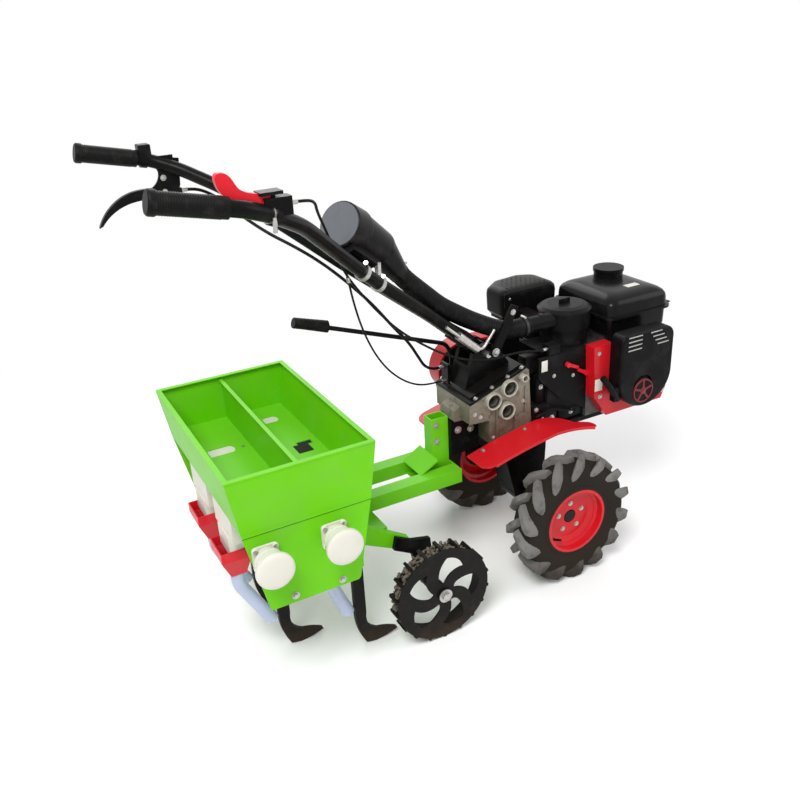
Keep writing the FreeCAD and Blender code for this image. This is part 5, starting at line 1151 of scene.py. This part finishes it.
# %% The strap, its tab and the saddle
strap = points_at((-787, -322.5, 1156.6), (-795, -326.75, 1159.9), (-803, -331, 1163.2))
tube("throttle_strap", strap, 17.6, "bare_steel", "handlebar", sides=40)
tab = points_at((-796, -343, 1158), (-797, -345, 1144), (-797, -342, 1131))
tube("throttle_tab", tab, 4.5, "bare_steel", "handlebar", sides=12)
saddle = points_at((-546, -92, 1008), (-512, -80, 982), (-478, -66, 955))
tube("pre_cleaner_saddle", saddle, 21, "black_plastic", "handlebar", sides=4)
fasteners("saddle_bolts", "handlebar", [(place, (-0.4, -0.7, 0.6), 3.6) for place in
                                        points_at((-513, -112, 972), (-464, -98, 928))])

# %% [markdown]
# ## Studio
# The object stands on a pale floor in soft light. The lamps are broad, so edges get long gentle
# highlights and the shadow under the wheels stays soft. The camera stands on the right, behind the
# handlebar, and looks down at the machine.

# %% Floor and world
SHADOW_END, WHITE_START = 1.0, 2.6
SKY_LIGHT = 0.62
FLOOR_WIDTH = 60
PALE = (0.95, 0.95, 0.95, 1)


def seen_directly(tree):
    """1 for what the camera sees, straight, mirrored or through a clear piece, and 0 for light."""
    rays = tree.add("ShaderNodeLightPath").outputs
    seen = tree.maths("MAXIMUM", rays["Is Camera Ray"], rays["Is Glossy Ray"])
    return tree.maths("MAXIMUM", seen, rays["Is Transmission Ray"])


def stage_material():
    """A pale floor that takes the shadow near the machine and turns pure white further off."""
    made = bpy.data.materials.new("pale_floor")
    made.use_nodes = True
    tree = Tree(made.node_tree)
    pale = tree.fill(tree.nodes["Principled BSDF"], {"Base Color": PALE, "Roughness": 0.9})
    where = tree.add("ShaderNodeTexCoord").outputs["Object"]
    away = tree.add("ShaderNodeVectorMath", {0: where}, operation="LENGTH").outputs["Value"]
    mask = tree.maths("MULTIPLY", tree.ramp(away, SHADOW_END, WHITE_START), seen_directly(tree))
    mixed = tree.add("ShaderNodeMixShader", {0: mask, 1: pale, 2: tree.add("ShaderNodeEmission")})
    tree.fill(tree.nodes["Material Output"], {"Surface": mixed})
    return made


bpy.ops.mesh.primitive_plane_add(size=FLOOR_WIDTH, location=(0, 0, 0))
floor = bpy.context.object
floor.name = "floor"
floor.data.materials.append(stage_material())

world = bpy.data.worlds.new("studio")
bpy.context.scene.world = world
world.use_nodes = True
sky = Tree(world.node_tree)
level = sky.maths("MULTIPLY_ADD", seen_directly(sky), 1 - SKY_LIGHT, SKY_LIGHT)
sky.fill(sky.nodes["Background"], {"Color": (1, 1, 1, 1), "Strength": level})

# %% Lamps
# Each row: name, place, what it shines at, how wide it is, its power
LAMPS = (("key", (-1.9, -1.9, 3.7), (0, 0, 0.4), 1.8, 135),
         ("fill", (2.8, -1.6, 2.2), (0.2, 0, 0.4), 2.2, 26),
         ("back", (0.8, 2.8, 2.6), (0, 0, 0.5), 2.4, 35))
for name, place, target, size, power in LAMPS:
    light = bpy.data.lights.new(name, "AREA")
    light.shape = "DISK"
    light.size = size
    light.energy = power
    lamp = bpy.data.objects.new(name, light)
    bpy.context.scene.collection.objects.link(lamp)
    lamp.location = place
    lamp.rotation_euler = (Vector(target) - Vector(place)).to_track_quat("-Z", "Y").to_euler()

# %% Camera
CAMERA_PLACE = (-1305, -1795.5, 1494)
LOOK_DOWN, HEADING, ROLL = 24.98, -27.02, -3.24
LENS, SENSOR_WIDTH = 38.2, 36.0
camera_data = bpy.data.cameras.new("camera")
camera = bpy.data.objects.new("camera", camera_data)
bpy.context.scene.collection.objects.link(camera)
camera_data.lens = LENS
camera_data.sensor_width = SENSOR_WIDTH
camera.location = at(*CAMERA_PLACE)
turn = Euler((math.radians(90 - LOOK_DOWN), 0, math.radians(HEADING))).to_matrix()
camera.rotation_euler = (turn @ Matrix.Rotation(math.radians(ROLL), 3, "Z")).to_euler()
bpy.context.scene.camera = camera
bpy.context.scene.view_settings.view_transform = "Standard"
